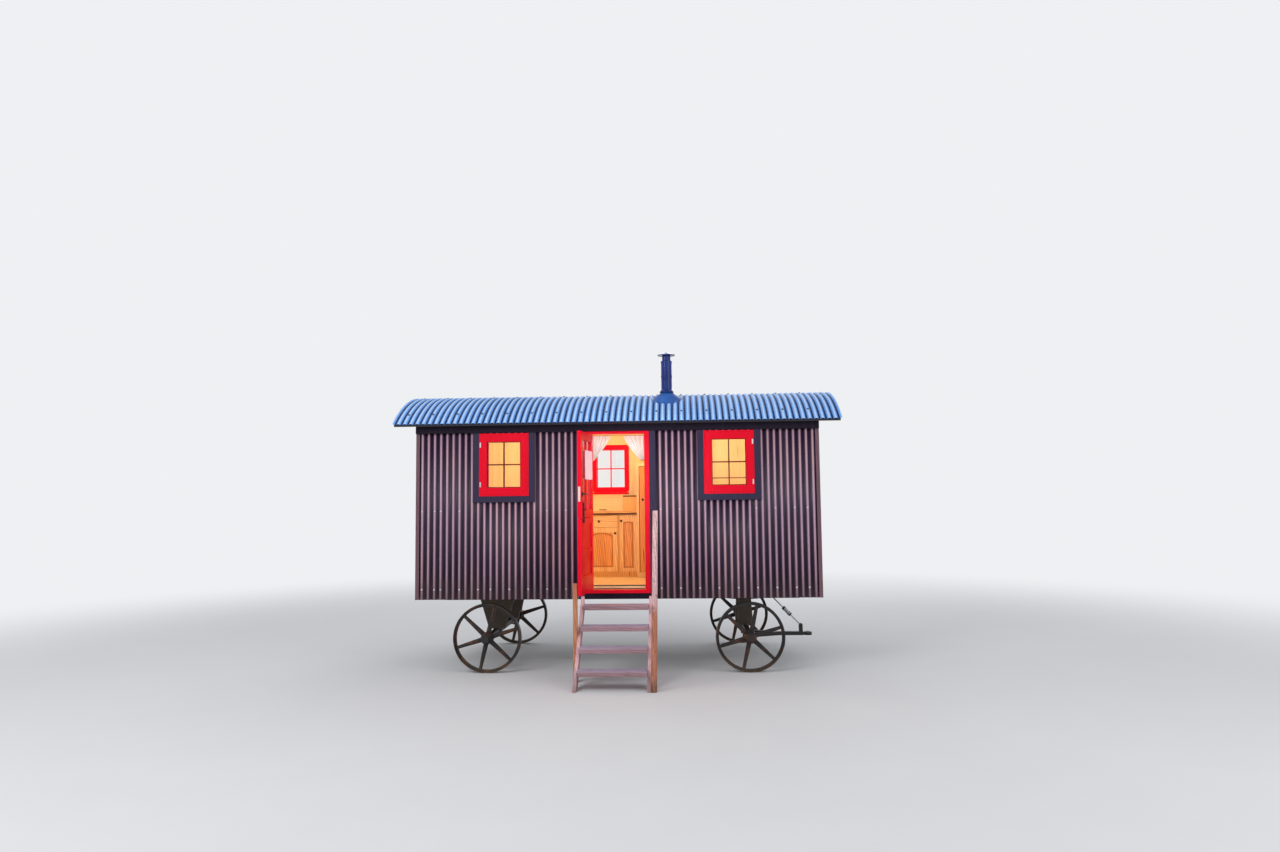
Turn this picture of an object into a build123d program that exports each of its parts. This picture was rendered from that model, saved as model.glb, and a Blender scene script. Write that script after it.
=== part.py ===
from build123d import *
import math
import os

# Shepherd's hut on cast-iron wheels, standing on its ground at z = 0
# The long front wall with the door faces -Y, the drawbar points to +X
# The origin is under the middle of everything that stands on or over the ground

# Hut body
hut_length = 4877.0
hut_width = 2286.0
wall_bottom = 880.0
core_thickness = 70.0
sheet_lap = 20.0

# Corrugated sheets
sheet_pitch = 76.2
sheet_depth = 19.0
sheet_gauge = 1.0

# Floor
floor_top = wall_bottom + 110.0
floor_thickness = 90.0

# Roof arch, measured at the sheet crests
eave_height = 3001.0
roof_rise = 436.0
eave_overhang = 120.0
end_overhang = 268.0
deck_thickness = 24.0
deck_setback = 20.0

# Fascia boards and trim boards
fascia_bottom = eave_height - 116.0
sheet_top = fascia_bottom + sheet_lap
fascia_thickness = 28.0
trim_width = 76.0
trim_thickness = 16.0
corner_leg = 45.0
corner_gauge = 2.0

# Windows
window_width = 604.0
window_height = 760.0
window_top = fascia_bottom - 8.0
window_flange = 18.0
glass_width = 410.0
glass_height = 556.0
glass_thickness = 4.0
rough_side_gap = 37.0
inner_casing_border = 66.0
inner_casing_thickness = 14.0
inner_casing_radius = 45.0
front_window_offset = 1360.0
back_window_x = -235.0

# Doorway
doorway_x = 12.0
doorway_half = 341.0
jamb_width = 50.0
jamb_proud = 6.0
sill_bottom = floor_top - 41.0
sill_proud = 30.0
sill_fall = 6.0
doorway_top = fascia_bottom - 32.0
door_stop_depth = 18.0
door_stop_width = 12.0

# Stable door, two leaves bolted together
leaf_thickness = 44.0
leaf_face_setback = 2.0
leaf_hinge_gap = 5.0
leaf_free_gap = 8.0
leaf_end_gap = 7.0
leaf_split_height = floor_top + 867.0
leaf_split_gap = 6.0
leaf_border = 95.0
panel_recess = 12.0
lower_rail = 200.0
middle_rail = 38.0
top_rail = 64.0
lower_panel_share = 0.48
hinge_pin_back = 9.0
hinge_pin_out = 20.0
hinge_pin_radius = 7.0
hinge_strap_gauge = 4.0
hinge_strap_length = 45.0
hinge_height = 90.0
hinge_above_end = 120.0
hinge_below_end = 150.0
jamb_strap_length = 30.0
knuckle_gap = 1.0
door_rest_angle = 96.0

# Door furniture
handle_height = leaf_split_height + 273.0
handle_backset = 55.0
lever_length = 110.0
lever_radius = 9.0
lever_stand = 38.0
rose_radius = 24.0
rose_thickness = 8.0
lock_plate_width = 24.0
lock_plate_height = 168.0
lock_plate_thickness = 3.0
door_curtain_top = doorway_top - 216.0
door_curtain_drop = 340.0
door_curtain_width = 390.0
door_curtain_thickness = 16.0

# Steps
tread_count = 4
top_tread_height = sill_bottom - 116.0
tread_rise = 208.5
tread_going = 220.0
tread_depth = 220.0
tread_thickness = 48.0
tread_length = 770.0
top_tread_reach = 300.0
stringer_thickness = 38.0
stringer_depth = 130.0
steps_reach = 1000.0
step_pole_sides = 12
step_pole_radius = 34.0
step_pole_tip_radius = 29.0
step_pole_top = floor_top + 950.0
step_pole_lean = 38.0
stop_post_width = 50.0
stop_post_top = floor_top + 120.0
stop_post_reach = 450.0

# Wheels
wheel_radius = 411.0
wheel_base = 3162.0
wheel_setback = 100.0
rim_width = 75.0
rim_band = 13.0
rim_rib_depth = 24.0
rim_rib_width = 16.0
hub_length = 180.0
hub_radius = 72.0
hub_end_radius = 50.0
hub_barrel_length = 120.0
spoke_sink = 12.0
spoke_count = 6
spoke_root_width = 58.0
spoke_tip_width = 36.0
spoke_plate = 14.0
spoke_web_depth = 42.0
spoke_web_width = 14.0
spoke_phase = 17.0
stub_radius = 22.5
running_clearance = 0.09
hub_end_gap = 6.0
cap_gap = 2.0
cap_length = 22.0
cap_radius = 38.0

# Chassis
bearer_width = 70.0
bearer_depth = 100.0
bearer_spacing = 900.0
bearer_length = 4500.0
cross_member_drop = 10.0
axle_size = 60.0
axle_post_width = 80.0
axle_post_foot = 200.0
rear_post_top = 420.0
fore_post_top = 160.0
turntable_radius = 290.0
turntable_thickness = 14.0
turntable_gap = 6.0
kingpin_radius = 20.0
kingpin_head = 34.0
kingpin_head_depth = 18.0
kingpin_head_gap = 6.0
bolster_width = 220.0
fore_post_spacing = 420.0

# Drawbar and its stay
drawbar_end = 2345.0
drawbar_height = 290.0
drawbar_width = 60.0
drawbar_depth = 46.0
drawbar_spread = 420.0
eye_radius = 55.0
eye_bore = 25.0
eye_thickness = 40.0
eye_centre = 2405.0
lug_thickness = 40.0
lug_radius = 24.0
stay_radius = 8.0
stay_top = (1925.0, 795.0)
stay_foot = (2318.0, 395.0)
turnbuckle_radius = 17.0
turnbuckle_length = 95.0
turnbuckle_share = 0.55
stay_arm_width = 60.0
stay_arm_thickness = 16.0

# Flue
flue_x = 620.0
flue_from_front = 465.0
flue_radius = 68.5
flue_wall = 4.0
flue_length = 797.0
flue_neck_radius = 54.0
flue_neck_length = 69.0
flue_shoulder_slope = 8.0
cap_rim_radius = 111.5
cap_rim_height = 9.0
cap_cone_rise = 38.0
cap_tip_radius = 12.0
flashing_foot_radius = 165.0
flashing_height = 148.0
flashing_collar = 9.0
flashing_wall = 5.0

# Pine cupboards inside
cupboard_depth = 600.0
panel_board = 18.0
base_left = -540.0
base_right = 175.0
base_top = floor_top + 855.0
worktop_thickness = 40.0
worktop_overhang = 20.0
plinth_height = 80.0
unit_split = -85.0
stile_width = 40.0
drawer_bottom = base_top - 177.0
drawer_front_height = 170.0
drawer_side_drop = 30.0
drawer_length = 450.0
drawer_wall = 14.0
front_thickness = 20.0
front_gap = 5.0
front_foot_lap = 6.0
drawer_door_gap = 8.0
panel_bead = 20.0
front_relief = 6.0
left_border = 62.0
right_border = 50.0
right_head = 90.0
tall_border = 95.0
knob_radius = 14.0
knob_length = 24.0
knob_taper = -8.0
drawer_knob_shift = -36.0
left_knob_drop = 71.0
right_knob_drop = 83.0
tall_knob_height = floor_top + 1056.0
tall_knob_inset = 44.0
left_panel_arch = 40.0
right_panel_arch = 16.0
butt_radius = 3.5
butt_height = 50.0
butt_inset = 90.0
tall_width = 445.0
tall_depth = 745.0
tall_top = floor_top + 1555.0
tall_stile = 55.0
tall_rail = 62.0
tall_door_lap = 12.0

# Lace curtains tied back inside the doorway
curtain_thickness = 30.0
curtain_gap = 22.0
curtain_top = doorway_top - 18.0
curtain_tie = curtain_top - 305.0
curtain_side_gap = 4.0
curtain_sweep = 212.0
curtain_waist = 92.0
curtain_tail = 60.0

# Places worked out from the sizes above
total_depth = steps_reach + hut_width + eave_overhang
front_y = steps_reach - total_depth / 2
back_y = front_y + hut_width
mid_y = front_y + hut_width / 2
end_x = hut_length / 2
floor_bottom = floor_top - floor_thickness
core_out = sheet_depth
core_in = sheet_depth + core_thickness
room_front = front_y + core_in
room_back = back_y - core_in
room_end = end_x - core_in
half_chord = hut_width / 2 + eave_overhang
roof_radius = (half_chord**2 + roof_rise**2) / (2 * roof_rise)
arch_z = eave_height + roof_rise - roof_radius
half_arc = math.degrees(math.asin(half_chord / roof_radius))
deck_outer = roof_radius - sheet_depth
deck_inner = deck_outer - deck_thickness
roof_end = end_x + end_overhang
rough_width = window_width - 2 * rough_side_gap
rough_height = window_height - 2 * rough_side_gap
window_bottom = window_top - window_height
window_centre_z = window_top - window_height / 2
door_left = doorway_x - doorway_half
door_right = doorway_x + doorway_half
frame_left = door_left - jamb_width
frame_right = door_right + jamb_width
near_wheel_y = front_y + wheel_setback
far_wheel_y = back_y - wheel_setback
front_axle_x = wheel_base / 2
rear_axle_x = -wheel_base / 2
bearer_bottom = floor_bottom - bearer_depth
turntable_top = bearer_bottom - turntable_thickness
lower_plate_top = turntable_top - turntable_gap
lower_plate_bottom = lower_plate_top - turntable_thickness
axle_top = wheel_radius + axle_size / 2
axle_half = (far_wheel_y - near_wheel_y) / 2 - hub_length / 2 - hub_end_gap
flue_y = front_y + flue_from_front
flue_shoulder = eave_height + flue_length
flue_neck_top = flue_shoulder + flue_neck_length
pin_x = door_left - hinge_pin_back
pin_y = front_y - hinge_pin_out

os.makedirs("parts", exist_ok=True)


def save(part, name):
    part.label = name
    export_step(part, f"parts/{name}.step")


def block(low, high, mode=Mode.ADD):
    centre = [(a + b) / 2 for a, b in zip(low, high)]
    size = [b - a for a, b in zip(low, high)]
    with Locations(tuple(centre)):
        Box(*size, mode=mode)


def outline(plane, points):
    with BuildSketch(plane) as shape:
        with BuildLine():
            Polyline(*points, close=True)
        make_face()
    return shape.sketch


def deck_height(y):
    return arch_z + math.sqrt(deck_inner**2 - (y - mid_y) ** 2)


# Planes that stand on a wall's outer line, local y pointing out of the hut
front_line = Plane(origin=(0, front_y, wall_bottom), x_dir=(-1, 0, 0), z_dir=(0, 0, 1))
back_line = Plane(origin=(0, back_y, wall_bottom), x_dir=(1, 0, 0), z_dir=(0, 0, 1))
left_line = Plane(origin=(-end_x, mid_y, wall_bottom), x_dir=(0, 1, 0), z_dir=(0, 0, 1))
right_line = Plane(origin=(end_x, mid_y, wall_bottom), x_dir=(0, -1, 0), z_dir=(0, 0, 1))
arch_plane = Plane(origin=(0, mid_y, arch_z), x_dir=(0, 1, 0), z_dir=(1, 0, 0))


def ridge_points(start, end, crest):
    count = round(2 * (end - start) / sheet_pitch)
    step = (end - start) / count
    low = crest - sheet_depth + sheet_gauge
    top = [(start + n * step, low if n % 2 else crest) for n in range(count + 1)]
    under = [(x, y - sheet_gauge) for x, y in reversed(top)]
    return top + under


def ridged_wall(line, start, end, height):
    profile = outline(line, ridge_points(start, end, 0.0))
    extrude(profile, amount=height)


def window_box(x, y_low, y_high, mode=Mode.SUBTRACT):
    low = (x - rough_width / 2, y_low, window_centre_z - rough_height / 2)
    high = (x + rough_width / 2, y_high, window_centre_z + rough_height / 2)
    block(low, high, mode)


# Wall sheets
with BuildPart() as front_sheets:
    for side, first, last in ((-1, -frame_left, end_x), (1, -end_x, -frame_right)):
        ridged_wall(front_line, first, last, sheet_top - wall_bottom)
        window_box(side * front_window_offset, front_y - 1, front_y + core_in)
save(front_sheets.part, "front_sheets")

with BuildPart() as back_sheet:
    ridged_wall(back_line, -end_x, end_x, sheet_top - wall_bottom)
    window_box(back_window_x, back_y - core_in, back_y + 1)
save(back_sheet.part, "back_sheets")

with BuildPart() as end_sheets:
    half = hut_width / 2 - sheet_depth
    for line in (left_line, right_line):
        ridged_wall(line, -half, half, eave_height + roof_rise - wall_bottom)
    # the tops are snipped straight from fold to fold, just under the arched deck
    folds = round(4 * half / sheet_pitch)
    along = [-half + n * 2 * half / folds for n in range(folds + 1)]
    snips = [(y, math.sqrt(deck_inner**2 - y**2)) for y in along]
    snipped = outline(arch_plane, [(half, -arch_z), *reversed(snips), (-half, -arch_z)])
    extrude(snipped, amount=end_x + corner_leg, both=True, mode=Mode.INTERSECT)
save(end_sheets.part, "end_sheets")


# Wall cores of studs, wool and inner boards, standing on the floor
def core_outline(y_out, y_in, bottom):
    top_out = deck_height(y_out)
    top_in = deck_height(y_in)
    return [(y_out, bottom), (y_in, bottom), (y_in, top_in), (y_out, top_out)]


core_end = end_x - core_out
for side, name in ((-1, "left"), (1, "right")):
    with BuildPart() as front_core:
        start, end = (-core_end, frame_left) if side < 0 else (frame_right, core_end)
        profile = outline(Plane.YZ.offset(start), core_outline(front_y + core_out, room_front, floor_top))
        extrude(profile, amount=end - start)
        window_box(side * front_window_offset, front_y, room_front)
    save(front_core.part, f"front_wall_{name}")

with BuildPart() as head_core:
    points = core_outline(front_y + core_out, room_front, fascia_bottom)
    profile = outline(Plane.YZ.offset(frame_left), points)
    extrude(profile, amount=frame_right - frame_left)
save(head_core.part, "front_wall_over_door")

with BuildPart() as back_core:
    profile = outline(Plane.YZ.offset(-core_end), core_outline(back_y - core_out, room_back, floor_top))
    extrude(profile, amount=2 * core_end)
    window_box(back_window_x, room_back, back_y)
save(back_core.part, "back_wall")

spring = deck_height(room_front)
with BuildPart() as end_cores:
    for side in (-1, 1):
        with BuildSketch(Plane.YZ.offset(side * core_end)):
            with BuildLine():
                Line((room_front, floor_top), (room_back, floor_top))
                Line((room_back, floor_top), (room_back, spring))
                ThreePointArc((room_back, spring), (mid_y, arch_z + deck_inner), (room_front, spring))
                Line((room_front, spring), (room_front, floor_top))
            make_face()
        extrude(amount=-side * core_thickness)
save(end_cores.part, "end_walls")

with BuildPart() as floor:
    block((-core_end, front_y + core_out, floor_bottom), (core_end, back_y - core_out, floor_top))
save(floor.part, "floor")

# Corner angles that cover the sheet edges
with BuildPart() as corners:
    for x_side in (-1, 1):
        for y_corner, y_side in ((front_y, -1), (back_y, 1)):
            x_out = x_side * (end_x + corner_gauge)
            y_out = y_corner + y_side * corner_gauge
            x_leg = x_out - x_side * corner_leg
            y_leg = y_out - y_side * corner_leg
            x_in = x_side * end_x
            points = [(x_out, y_out), (x_leg, y_out), (x_leg, y_corner),
                      (x_in, y_corner), (x_in, y_leg), (x_out, y_leg)]
            profile = outline(Plane.XY.offset(wall_bottom), points)
            extrude(profile, amount=fascia_bottom - wall_bottom)
save(corners.part, "corner_angles")

# Roof: boarded deck and the corrugated sheets bent over it
with BuildPart() as deck:
    with BuildSketch(arch_plane):
        with BuildLine():
            angles = (90 - half_arc, 2 * half_arc)
            CenterArc((0, 0), deck_outer, *angles)
            CenterArc((0, 0), deck_inner, *angles)
            for angle in (90 - half_arc, 90 + half_arc):
                way = Vector(1, 0).rotate(Axis.Z, angle)
                Line(way * deck_inner, way * deck_outer)
        make_face()
    extrude(amount=roof_end - deck_setback, both=True)
save(deck.part, "roof_deck")

tilt = math.radians(half_arc)
eave_plane = Plane(
    origin=(0, mid_y, arch_z),
    x_dir=(1, 0, 0),
    z_dir=(0, -math.cos(tilt), -math.sin(tilt)),
)
with BuildPart() as roof_sheets:
    profile = outline(eave_plane, ridge_points(-roof_end, roof_end, roof_radius))
    revolve(profile, axis=Axis((0, mid_y, arch_z), (-1, 0, 0)), revolution_arc=2 * half_arc)
    with BuildSketch(Plane.XY.offset(eave_height)):
        with Locations((flue_x, flue_y)):
            Circle(flue_radius)
    extrude(amount=roof_rise, mode=Mode.SUBTRACT)
save(roof_sheets.part, "roof_sheets")

with BuildPart() as fascias:
    for y_wall, y_side in ((front_y, -1), (back_y, 1)):
        y_face = y_wall + y_side * fascia_thickness
        points = [(y_wall, fascia_bottom), (y_face, fascia_bottom),
                  (y_face, deck_height(y_face)), (y_wall, deck_height(y_wall))]
        profile = outline(Plane.YZ.offset(-end_x - corner_gauge), points)
        extrude(profile, amount=2 * (end_x + corner_gauge))
save(fascias.part, "fascia_boards")


# Windows: a flanged casing with its sash, and one pane
def ring(plane, outer, inner, radius=0.0):
    with BuildSketch(plane) as shape:
        if radius:
            RectangleRounded(*outer, radius)
        else:
            Rectangle(*outer)
        Rectangle(*inner, mode=Mode.SUBTRACT)
    return shape.sketch


glass_size = (glass_width, glass_height)
casing_size = [size + 2 * inner_casing_border for size in glass_size]


def window_plane(x, y_face, out):
    return Plane(origin=(x, y_face, window_centre_z), x_dir=(-out, 0, 0), z_dir=(0, out, 0))


def window_frame(face):
    extrude(ring(face, (window_width, window_height), glass_size), amount=window_flange)
    extrude(ring(face, (rough_width, rough_height), glass_size), amount=-core_in)
    casing = ring(face.offset(-core_in), casing_size, glass_size, inner_casing_radius)
    extrude(casing, amount=-inner_casing_thickness)


front_faces = [window_plane(side * front_window_offset, front_y, -1) for side in (-1, 1)]
back_face = window_plane(back_window_x, back_y, 1)

with BuildPart() as front_frames:
    for face in front_faces:
        window_frame(face)
save(front_frames.part, "front_window_frames")

with BuildPart() as back_frame:
    window_frame(back_face)
save(back_frame.part, "back_window_frame")

with BuildPart() as panes:
    for face in (*front_faces, back_face):
        with BuildSketch(face.offset(-glass_thickness)):
            Rectangle(*glass_size)
    extrude(amount=glass_thickness)
save(panes.part, "window_glass")

# Trim boards beside and under the windows, beside and under the door
with BuildPart() as trim:
    y_trim = (front_y - trim_thickness, front_y)
    for side in (-1, 1):
        x_window = side * front_window_offset
        inner = x_window - window_width / 2
        outer = x_window + window_width / 2
        for x_low in (inner - trim_width, outer):
            block((x_low, y_trim[0], window_bottom), (x_low + trim_width, y_trim[1], fascia_bottom))
        low = (inner - trim_width, y_trim[0], window_bottom - trim_width)
        block(low, (outer + trim_width, y_trim[1], window_bottom))
        x_door = frame_left - trim_width if side < 0 else frame_right
        block((x_door, y_trim[0], wall_bottom), (x_door + trim_width, y_trim[1], fascia_bottom))
save(trim.part, "front_trim_boards")

with BuildPart() as skirt:
    block((frame_left, front_y - trim_thickness, wall_bottom), (frame_right, front_y + core_out, sill_bottom))
save(skirt.part, "door_skirt_board")

# Door frame
stop_y = front_y + leaf_face_setback + leaf_thickness + leaf_hinge_gap
with BuildPart() as jambs:
    for side in (-1, 1):
        x_in = doorway_x + side * doorway_half
        x_out = x_in + side * jamb_width
        x_stop = x_in - side * door_stop_width
        points = [(x_in, front_y - jamb_proud), (x_out, front_y - jamb_proud), (x_out, room_front),
                  (x_in, room_front), (x_in, stop_y + door_stop_depth),
                  (x_stop, stop_y + door_stop_depth), (x_stop, stop_y), (x_in, stop_y)]
        profile = outline(Plane.XY.offset(floor_top), points)
        extrude(profile, amount=doorway_top - floor_top)
save(jambs.part, "door_jambs")

with BuildPart() as head:
    points = [(front_y - jamb_proud, doorway_top), (front_y - jamb_proud, fascia_bottom),
              (room_front, fascia_bottom), (room_front, doorway_top)]
    profile = outline(Plane.YZ.offset(frame_left), points)
    extrude(profile, amount=frame_right - frame_left)
save(head.part, "door_head")

with BuildPart() as sill:
    points = [(front_y + core_out, sill_bottom), (front_y + core_out, floor_top),
              (front_y - jamb_proud, floor_top), (front_y - sill_proud, floor_top - sill_fall),
              (front_y - sill_proud, sill_bottom)]
    profile = outline(Plane.YZ.offset(frame_left), points)
    extrude(profile, amount=frame_right - frame_left)
save(sill.part, "door_sill")


# Door leaves, drawn open at their rest angle round the hinge pin
open_angle = math.radians(door_rest_angle)
leaf_along = (math.cos(open_angle), -math.sin(open_angle), 0)
leaf_inward = (math.sin(open_angle), math.cos(open_angle), 0)
leaf_start = door_left + leaf_hinge_gap - pin_x
leaf_end = door_right - leaf_free_gap - pin_x
leaf_middle = (leaf_start + leaf_end) / 2
leaf_width = leaf_end - leaf_start
leaf_outer = front_y + leaf_face_setback - pin_y
leaf_inner = leaf_outer + leaf_thickness
leaf_plane = Plane(origin=(pin_x, pin_y, 0), x_dir=leaf_along, z_dir=(0, 0, 1))


def leaf_face(across):
    # a plane parallel to the leaf, facing out of the hut when the door is shut
    origin = leaf_plane.from_local_coords((0, across, 0))
    return Plane(origin=origin, x_dir=leaf_along, z_dir=tuple(-c for c in leaf_inward))


def leaf_slab(bottom, top):
    with BuildSketch(leaf_face(leaf_outer)) as shape:
        with Locations((leaf_middle, (bottom + top) / 2)):
            Rectangle(leaf_width, top - bottom)
    extrude(shape.sketch, amount=-leaf_thickness)


def leaf_recess(bottom, top, across, depth):
    with BuildSketch(leaf_face(across)) as shape:
        with Locations((leaf_middle, (bottom + top) / 2)):
            Rectangle(leaf_width - 2 * leaf_border, top - bottom)
    extrude(shape.sketch, amount=depth, mode=Mode.SUBTRACT)


leaf_bottom = floor_top + leaf_end_gap
leaf_top = doorway_top - leaf_end_gap
split_low = leaf_split_height - leaf_split_gap / 2
split_high = leaf_split_height + leaf_split_gap / 2
panels_low = leaf_bottom + lower_rail
panels_high = split_low - top_rail
panel_room = panels_high - panels_low - middle_rail
panel_step = panels_low + panel_room * lower_panel_share
light_low = split_high + leaf_border
light_high = leaf_top - leaf_border

with BuildPart() as lower_leaf:
    leaf_slab(leaf_bottom, split_low)
    for low, high in ((panels_low, panel_step), (panel_step + middle_rail, panels_high)):
        leaf_recess(low, high, leaf_outer, -panel_recess)
        leaf_recess(low, high, leaf_inner, panel_recess)
save(lower_leaf.part, "door_leaf_lower")

with BuildPart() as upper_leaf:
    leaf_slab(split_high, leaf_top)
    leaf_recess(light_low, light_high, leaf_outer, -leaf_thickness)
save(upper_leaf.part, "door_leaf_upper")

with BuildPart() as door_glass:
    with BuildSketch(leaf_face((leaf_outer + leaf_inner) / 2)):
        with Locations((leaf_middle, (light_low + light_high) / 2)):
            Rectangle(leaf_width - 2 * leaf_border, light_high - light_low)
    extrude(amount=glass_thickness / 2, both=True)
save(door_glass.part, "door_glass")

# Small curtain on the inner face of the upper leaf, over its pane
with BuildPart() as leaf_curtain:
    with BuildSketch(leaf_face(leaf_inner)):
        middle_z = door_curtain_top - door_curtain_drop / 2
        with Locations((leaf_start + leaf_border + door_curtain_width / 2, middle_z)):
            Rectangle(door_curtain_width, door_curtain_drop)
    extrude(amount=-door_curtain_thickness)
save(leaf_curtain.part, "door_leaf_curtain")

# Lever handles on both faces and the lock's plate on the free edge
handle_at = leaf_end - handle_backset
with BuildPart() as handles:
    for across, way in ((leaf_outer, 1), (leaf_inner, -1)):
        with BuildSketch(leaf_face(across)):
            with Locations((handle_at, handle_height)):
                Circle(rose_radius)
        extrude(amount=way * rose_thickness)
        with BuildSketch(leaf_face(across)):
            with Locations((handle_at, handle_height)):
                Circle(lever_radius)
        extrude(amount=way * (lever_stand + lever_radius))
        lever_root = leaf_plane.from_local_coords((handle_at, across - way * lever_stand, handle_height))
        with BuildSketch(Plane(origin=lever_root, x_dir=leaf_inward, z_dir=tuple(-c for c in leaf_along))):
            Circle(lever_radius)
        extrude(amount=lever_length)
    edge = leaf_plane.from_local_coords((leaf_end, (leaf_outer + leaf_inner) / 2, handle_height))
    with BuildSketch(Plane(origin=edge, x_dir=leaf_inward, z_dir=leaf_along)):
        Rectangle(lock_plate_width, lock_plate_height)
    extrude(amount=lock_plate_thickness)
save(handles.part, "door_handles")

# Strap hinges: a knuckle with a strap to the leaf under one with a strap to the jamb
hinge_heights = (leaf_bottom + hinge_above_end, split_low - hinge_below_end,
                 split_high + hinge_above_end, leaf_top - hinge_below_end)
knuckle = hinge_height / 2


def hinge_knuckle(z):
    with BuildSketch(Plane.XY.offset(z)) as shape:
        with Locations((pin_x, pin_y)):
            Circle(hinge_pin_radius)
    extrude(shape.sketch, amount=knuckle)


with BuildPart() as leaf_hinges:
    for z in hinge_heights:
        hinge_knuckle(z)
        strap_end = leaf_start + hinge_strap_length
        strap = [(0, hinge_pin_radius - hinge_strap_gauge), (strap_end, hinge_pin_radius - hinge_strap_gauge),
                 (strap_end, leaf_outer), (leaf_start, leaf_outer), (leaf_start, hinge_pin_radius),
                 (0, hinge_pin_radius)]
        level = Plane(origin=(pin_x, pin_y, z), x_dir=leaf_along, z_dir=(0, 0, 1))
        profile = outline(level, strap)
        extrude(profile, amount=knuckle)
save(leaf_hinges.part, "door_hinges")

with BuildPart() as jamb_hinges:
    for z in hinge_heights:
        low_z = z + knuckle + knuckle_gap
        hinge_knuckle(low_z)
        block((pin_x - jamb_strap_length, pin_y, low_z), (pin_x, front_y - jamb_proud, low_z + knuckle))
save(jamb_hinges.part, "jamb_hinges")


# Wheels: one casting of a T-section rim, six ribbed spokes and a barrel hub
def wheel(name, x, y):
    centre = (x, y, wheel_radius)
    section = Plane(origin=centre, x_dir=(0, 1, 0), z_dir=(1, 0, 0))
    disc = Plane(origin=centre, x_dir=(1, 0, 0), z_dir=(0, -1, 0))
    axis = Axis(centre, (0, 1, 0))
    band_in = wheel_radius - rim_band
    rib_in = band_in - rim_rib_depth
    with BuildPart() as casting:
        rim = [(-rim_width / 2, wheel_radius), (rim_width / 2, wheel_radius), (rim_width / 2, band_in),
               (rim_rib_width / 2, band_in), (rim_rib_width / 2, rib_in),
               (-rim_rib_width / 2, rib_in), (-rim_rib_width / 2, band_in), (-rim_width / 2, band_in)]
        revolve(outline(section, rim), axis=axis)
        bore = stub_radius + running_clearance
        barrel = hub_barrel_length / 2
        hub = [(-hub_length / 2, bore), (-hub_length / 2, hub_end_radius), (-barrel, hub_radius),
               (barrel, hub_radius), (hub_length / 2, hub_end_radius), (hub_length / 2, bore)]
        revolve(outline(section, hub), axis=axis)
        reach = band_in - rim_rib_depth / 2
        root = hub_radius - spoke_sink
        spoke = [(root, -spoke_root_width / 2), (reach, -spoke_tip_width / 2),
                 (reach, spoke_tip_width / 2), (root, spoke_root_width / 2)]
        web = [(root, -spoke_web_width / 2), (reach, -spoke_web_width / 2),
               (reach, spoke_web_width / 2), (root, spoke_web_width / 2)]
        for points, depth in ((spoke, spoke_plate / 2), (web, spoke_web_depth / 2)):
            with BuildSketch(disc):
                with PolarLocations(0, spoke_count, start_angle=spoke_phase):
                    Polygon(*points, align=None)
            extrude(amount=depth, both=True)
    save(casting.part, name)


wheel("wheel_front_near", front_axle_x, near_wheel_y)
wheel("wheel_front_far", front_axle_x, far_wheel_y)
wheel("wheel_rear_near", rear_axle_x, near_wheel_y)
wheel("wheel_rear_far", rear_axle_x, far_wheel_y)


# Axles: square beam, turned stubs through the hubs, end caps
def axle(name, x):
    centre = (x, mid_y, wheel_radius)
    across = Plane(origin=centre, x_dir=(1, 0, 0), z_dir=(0, -1, 0))
    stub_half = (far_wheel_y - near_wheel_y) / 2 + hub_length / 2 + cap_gap
    with BuildPart() as beam:
        with BuildSketch(across):
            Rectangle(axle_size, axle_size)
        extrude(amount=axle_half, both=True)
        with BuildSketch(across):
            Circle(stub_radius)
        extrude(amount=stub_half, both=True)
        for side in (-1, 1):
            with BuildSketch(across.offset(side * stub_half)):
                Circle(cap_radius)
            extrude(amount=side * cap_length)
    save(beam.part, name)


axle("rear_axle", rear_axle_x)
axle("front_axle", front_axle_x)

# Chassis: two long bearers with cross members between them
bearer_y = bearer_spacing / 2
with BuildPart() as bearers:
    for side in (-1, 1):
        y = mid_y + side * bearer_y
        low = (-bearer_length / 2, y - bearer_width / 2, bearer_bottom)
        block(low, (bearer_length / 2, y + bearer_width / 2, floor_bottom))
save(bearers.part, "chassis_bearers")

with BuildPart() as crosses:
    inner = bearer_y - bearer_width / 2
    for x in (-bearer_length / 2 + bearer_width / 2, rear_axle_x, 0, bearer_length / 2 - bearer_width / 2):
        low = (x - bearer_width / 2, mid_y - inner, bearer_bottom + cross_member_drop)
        block(low, (x + bearer_width / 2, mid_y + inner, floor_bottom))
save(crosses.part, "chassis_cross_members")

# Tapered posts from the axles up to the bearers and to the turning plate


def axle_posts(x, spacing, top_width, top):
    for side in (-1, 1):
        points = [(x - axle_post_foot / 2, axle_top), (x + axle_post_foot / 2, axle_top),
                  (x + top_width / 2, top), (x - top_width / 2, top)]
        profile = outline(Plane.XZ.offset(-mid_y - side * spacing / 2), points)
        extrude(profile, amount=axle_post_width / 2, both=True)


with BuildPart() as rear_posts:
    axle_posts(rear_axle_x, bearer_spacing, rear_post_top, bearer_bottom)
save(rear_posts.part, "rear_axle_posts")

# The stay runs down from the turning plate's arm to the drawbar
stay_run = math.hypot(stay_foot[0] - stay_top[0], stay_foot[1] - stay_top[1])
stay_dir = ((stay_foot[0] - stay_top[0]) / stay_run, 0, (stay_foot[1] - stay_top[1]) / stay_run)
stay_plane = Plane(origin=(stay_top[0], mid_y, stay_top[1]), x_dir=(0, 1, 0), z_dir=stay_dir)

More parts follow.
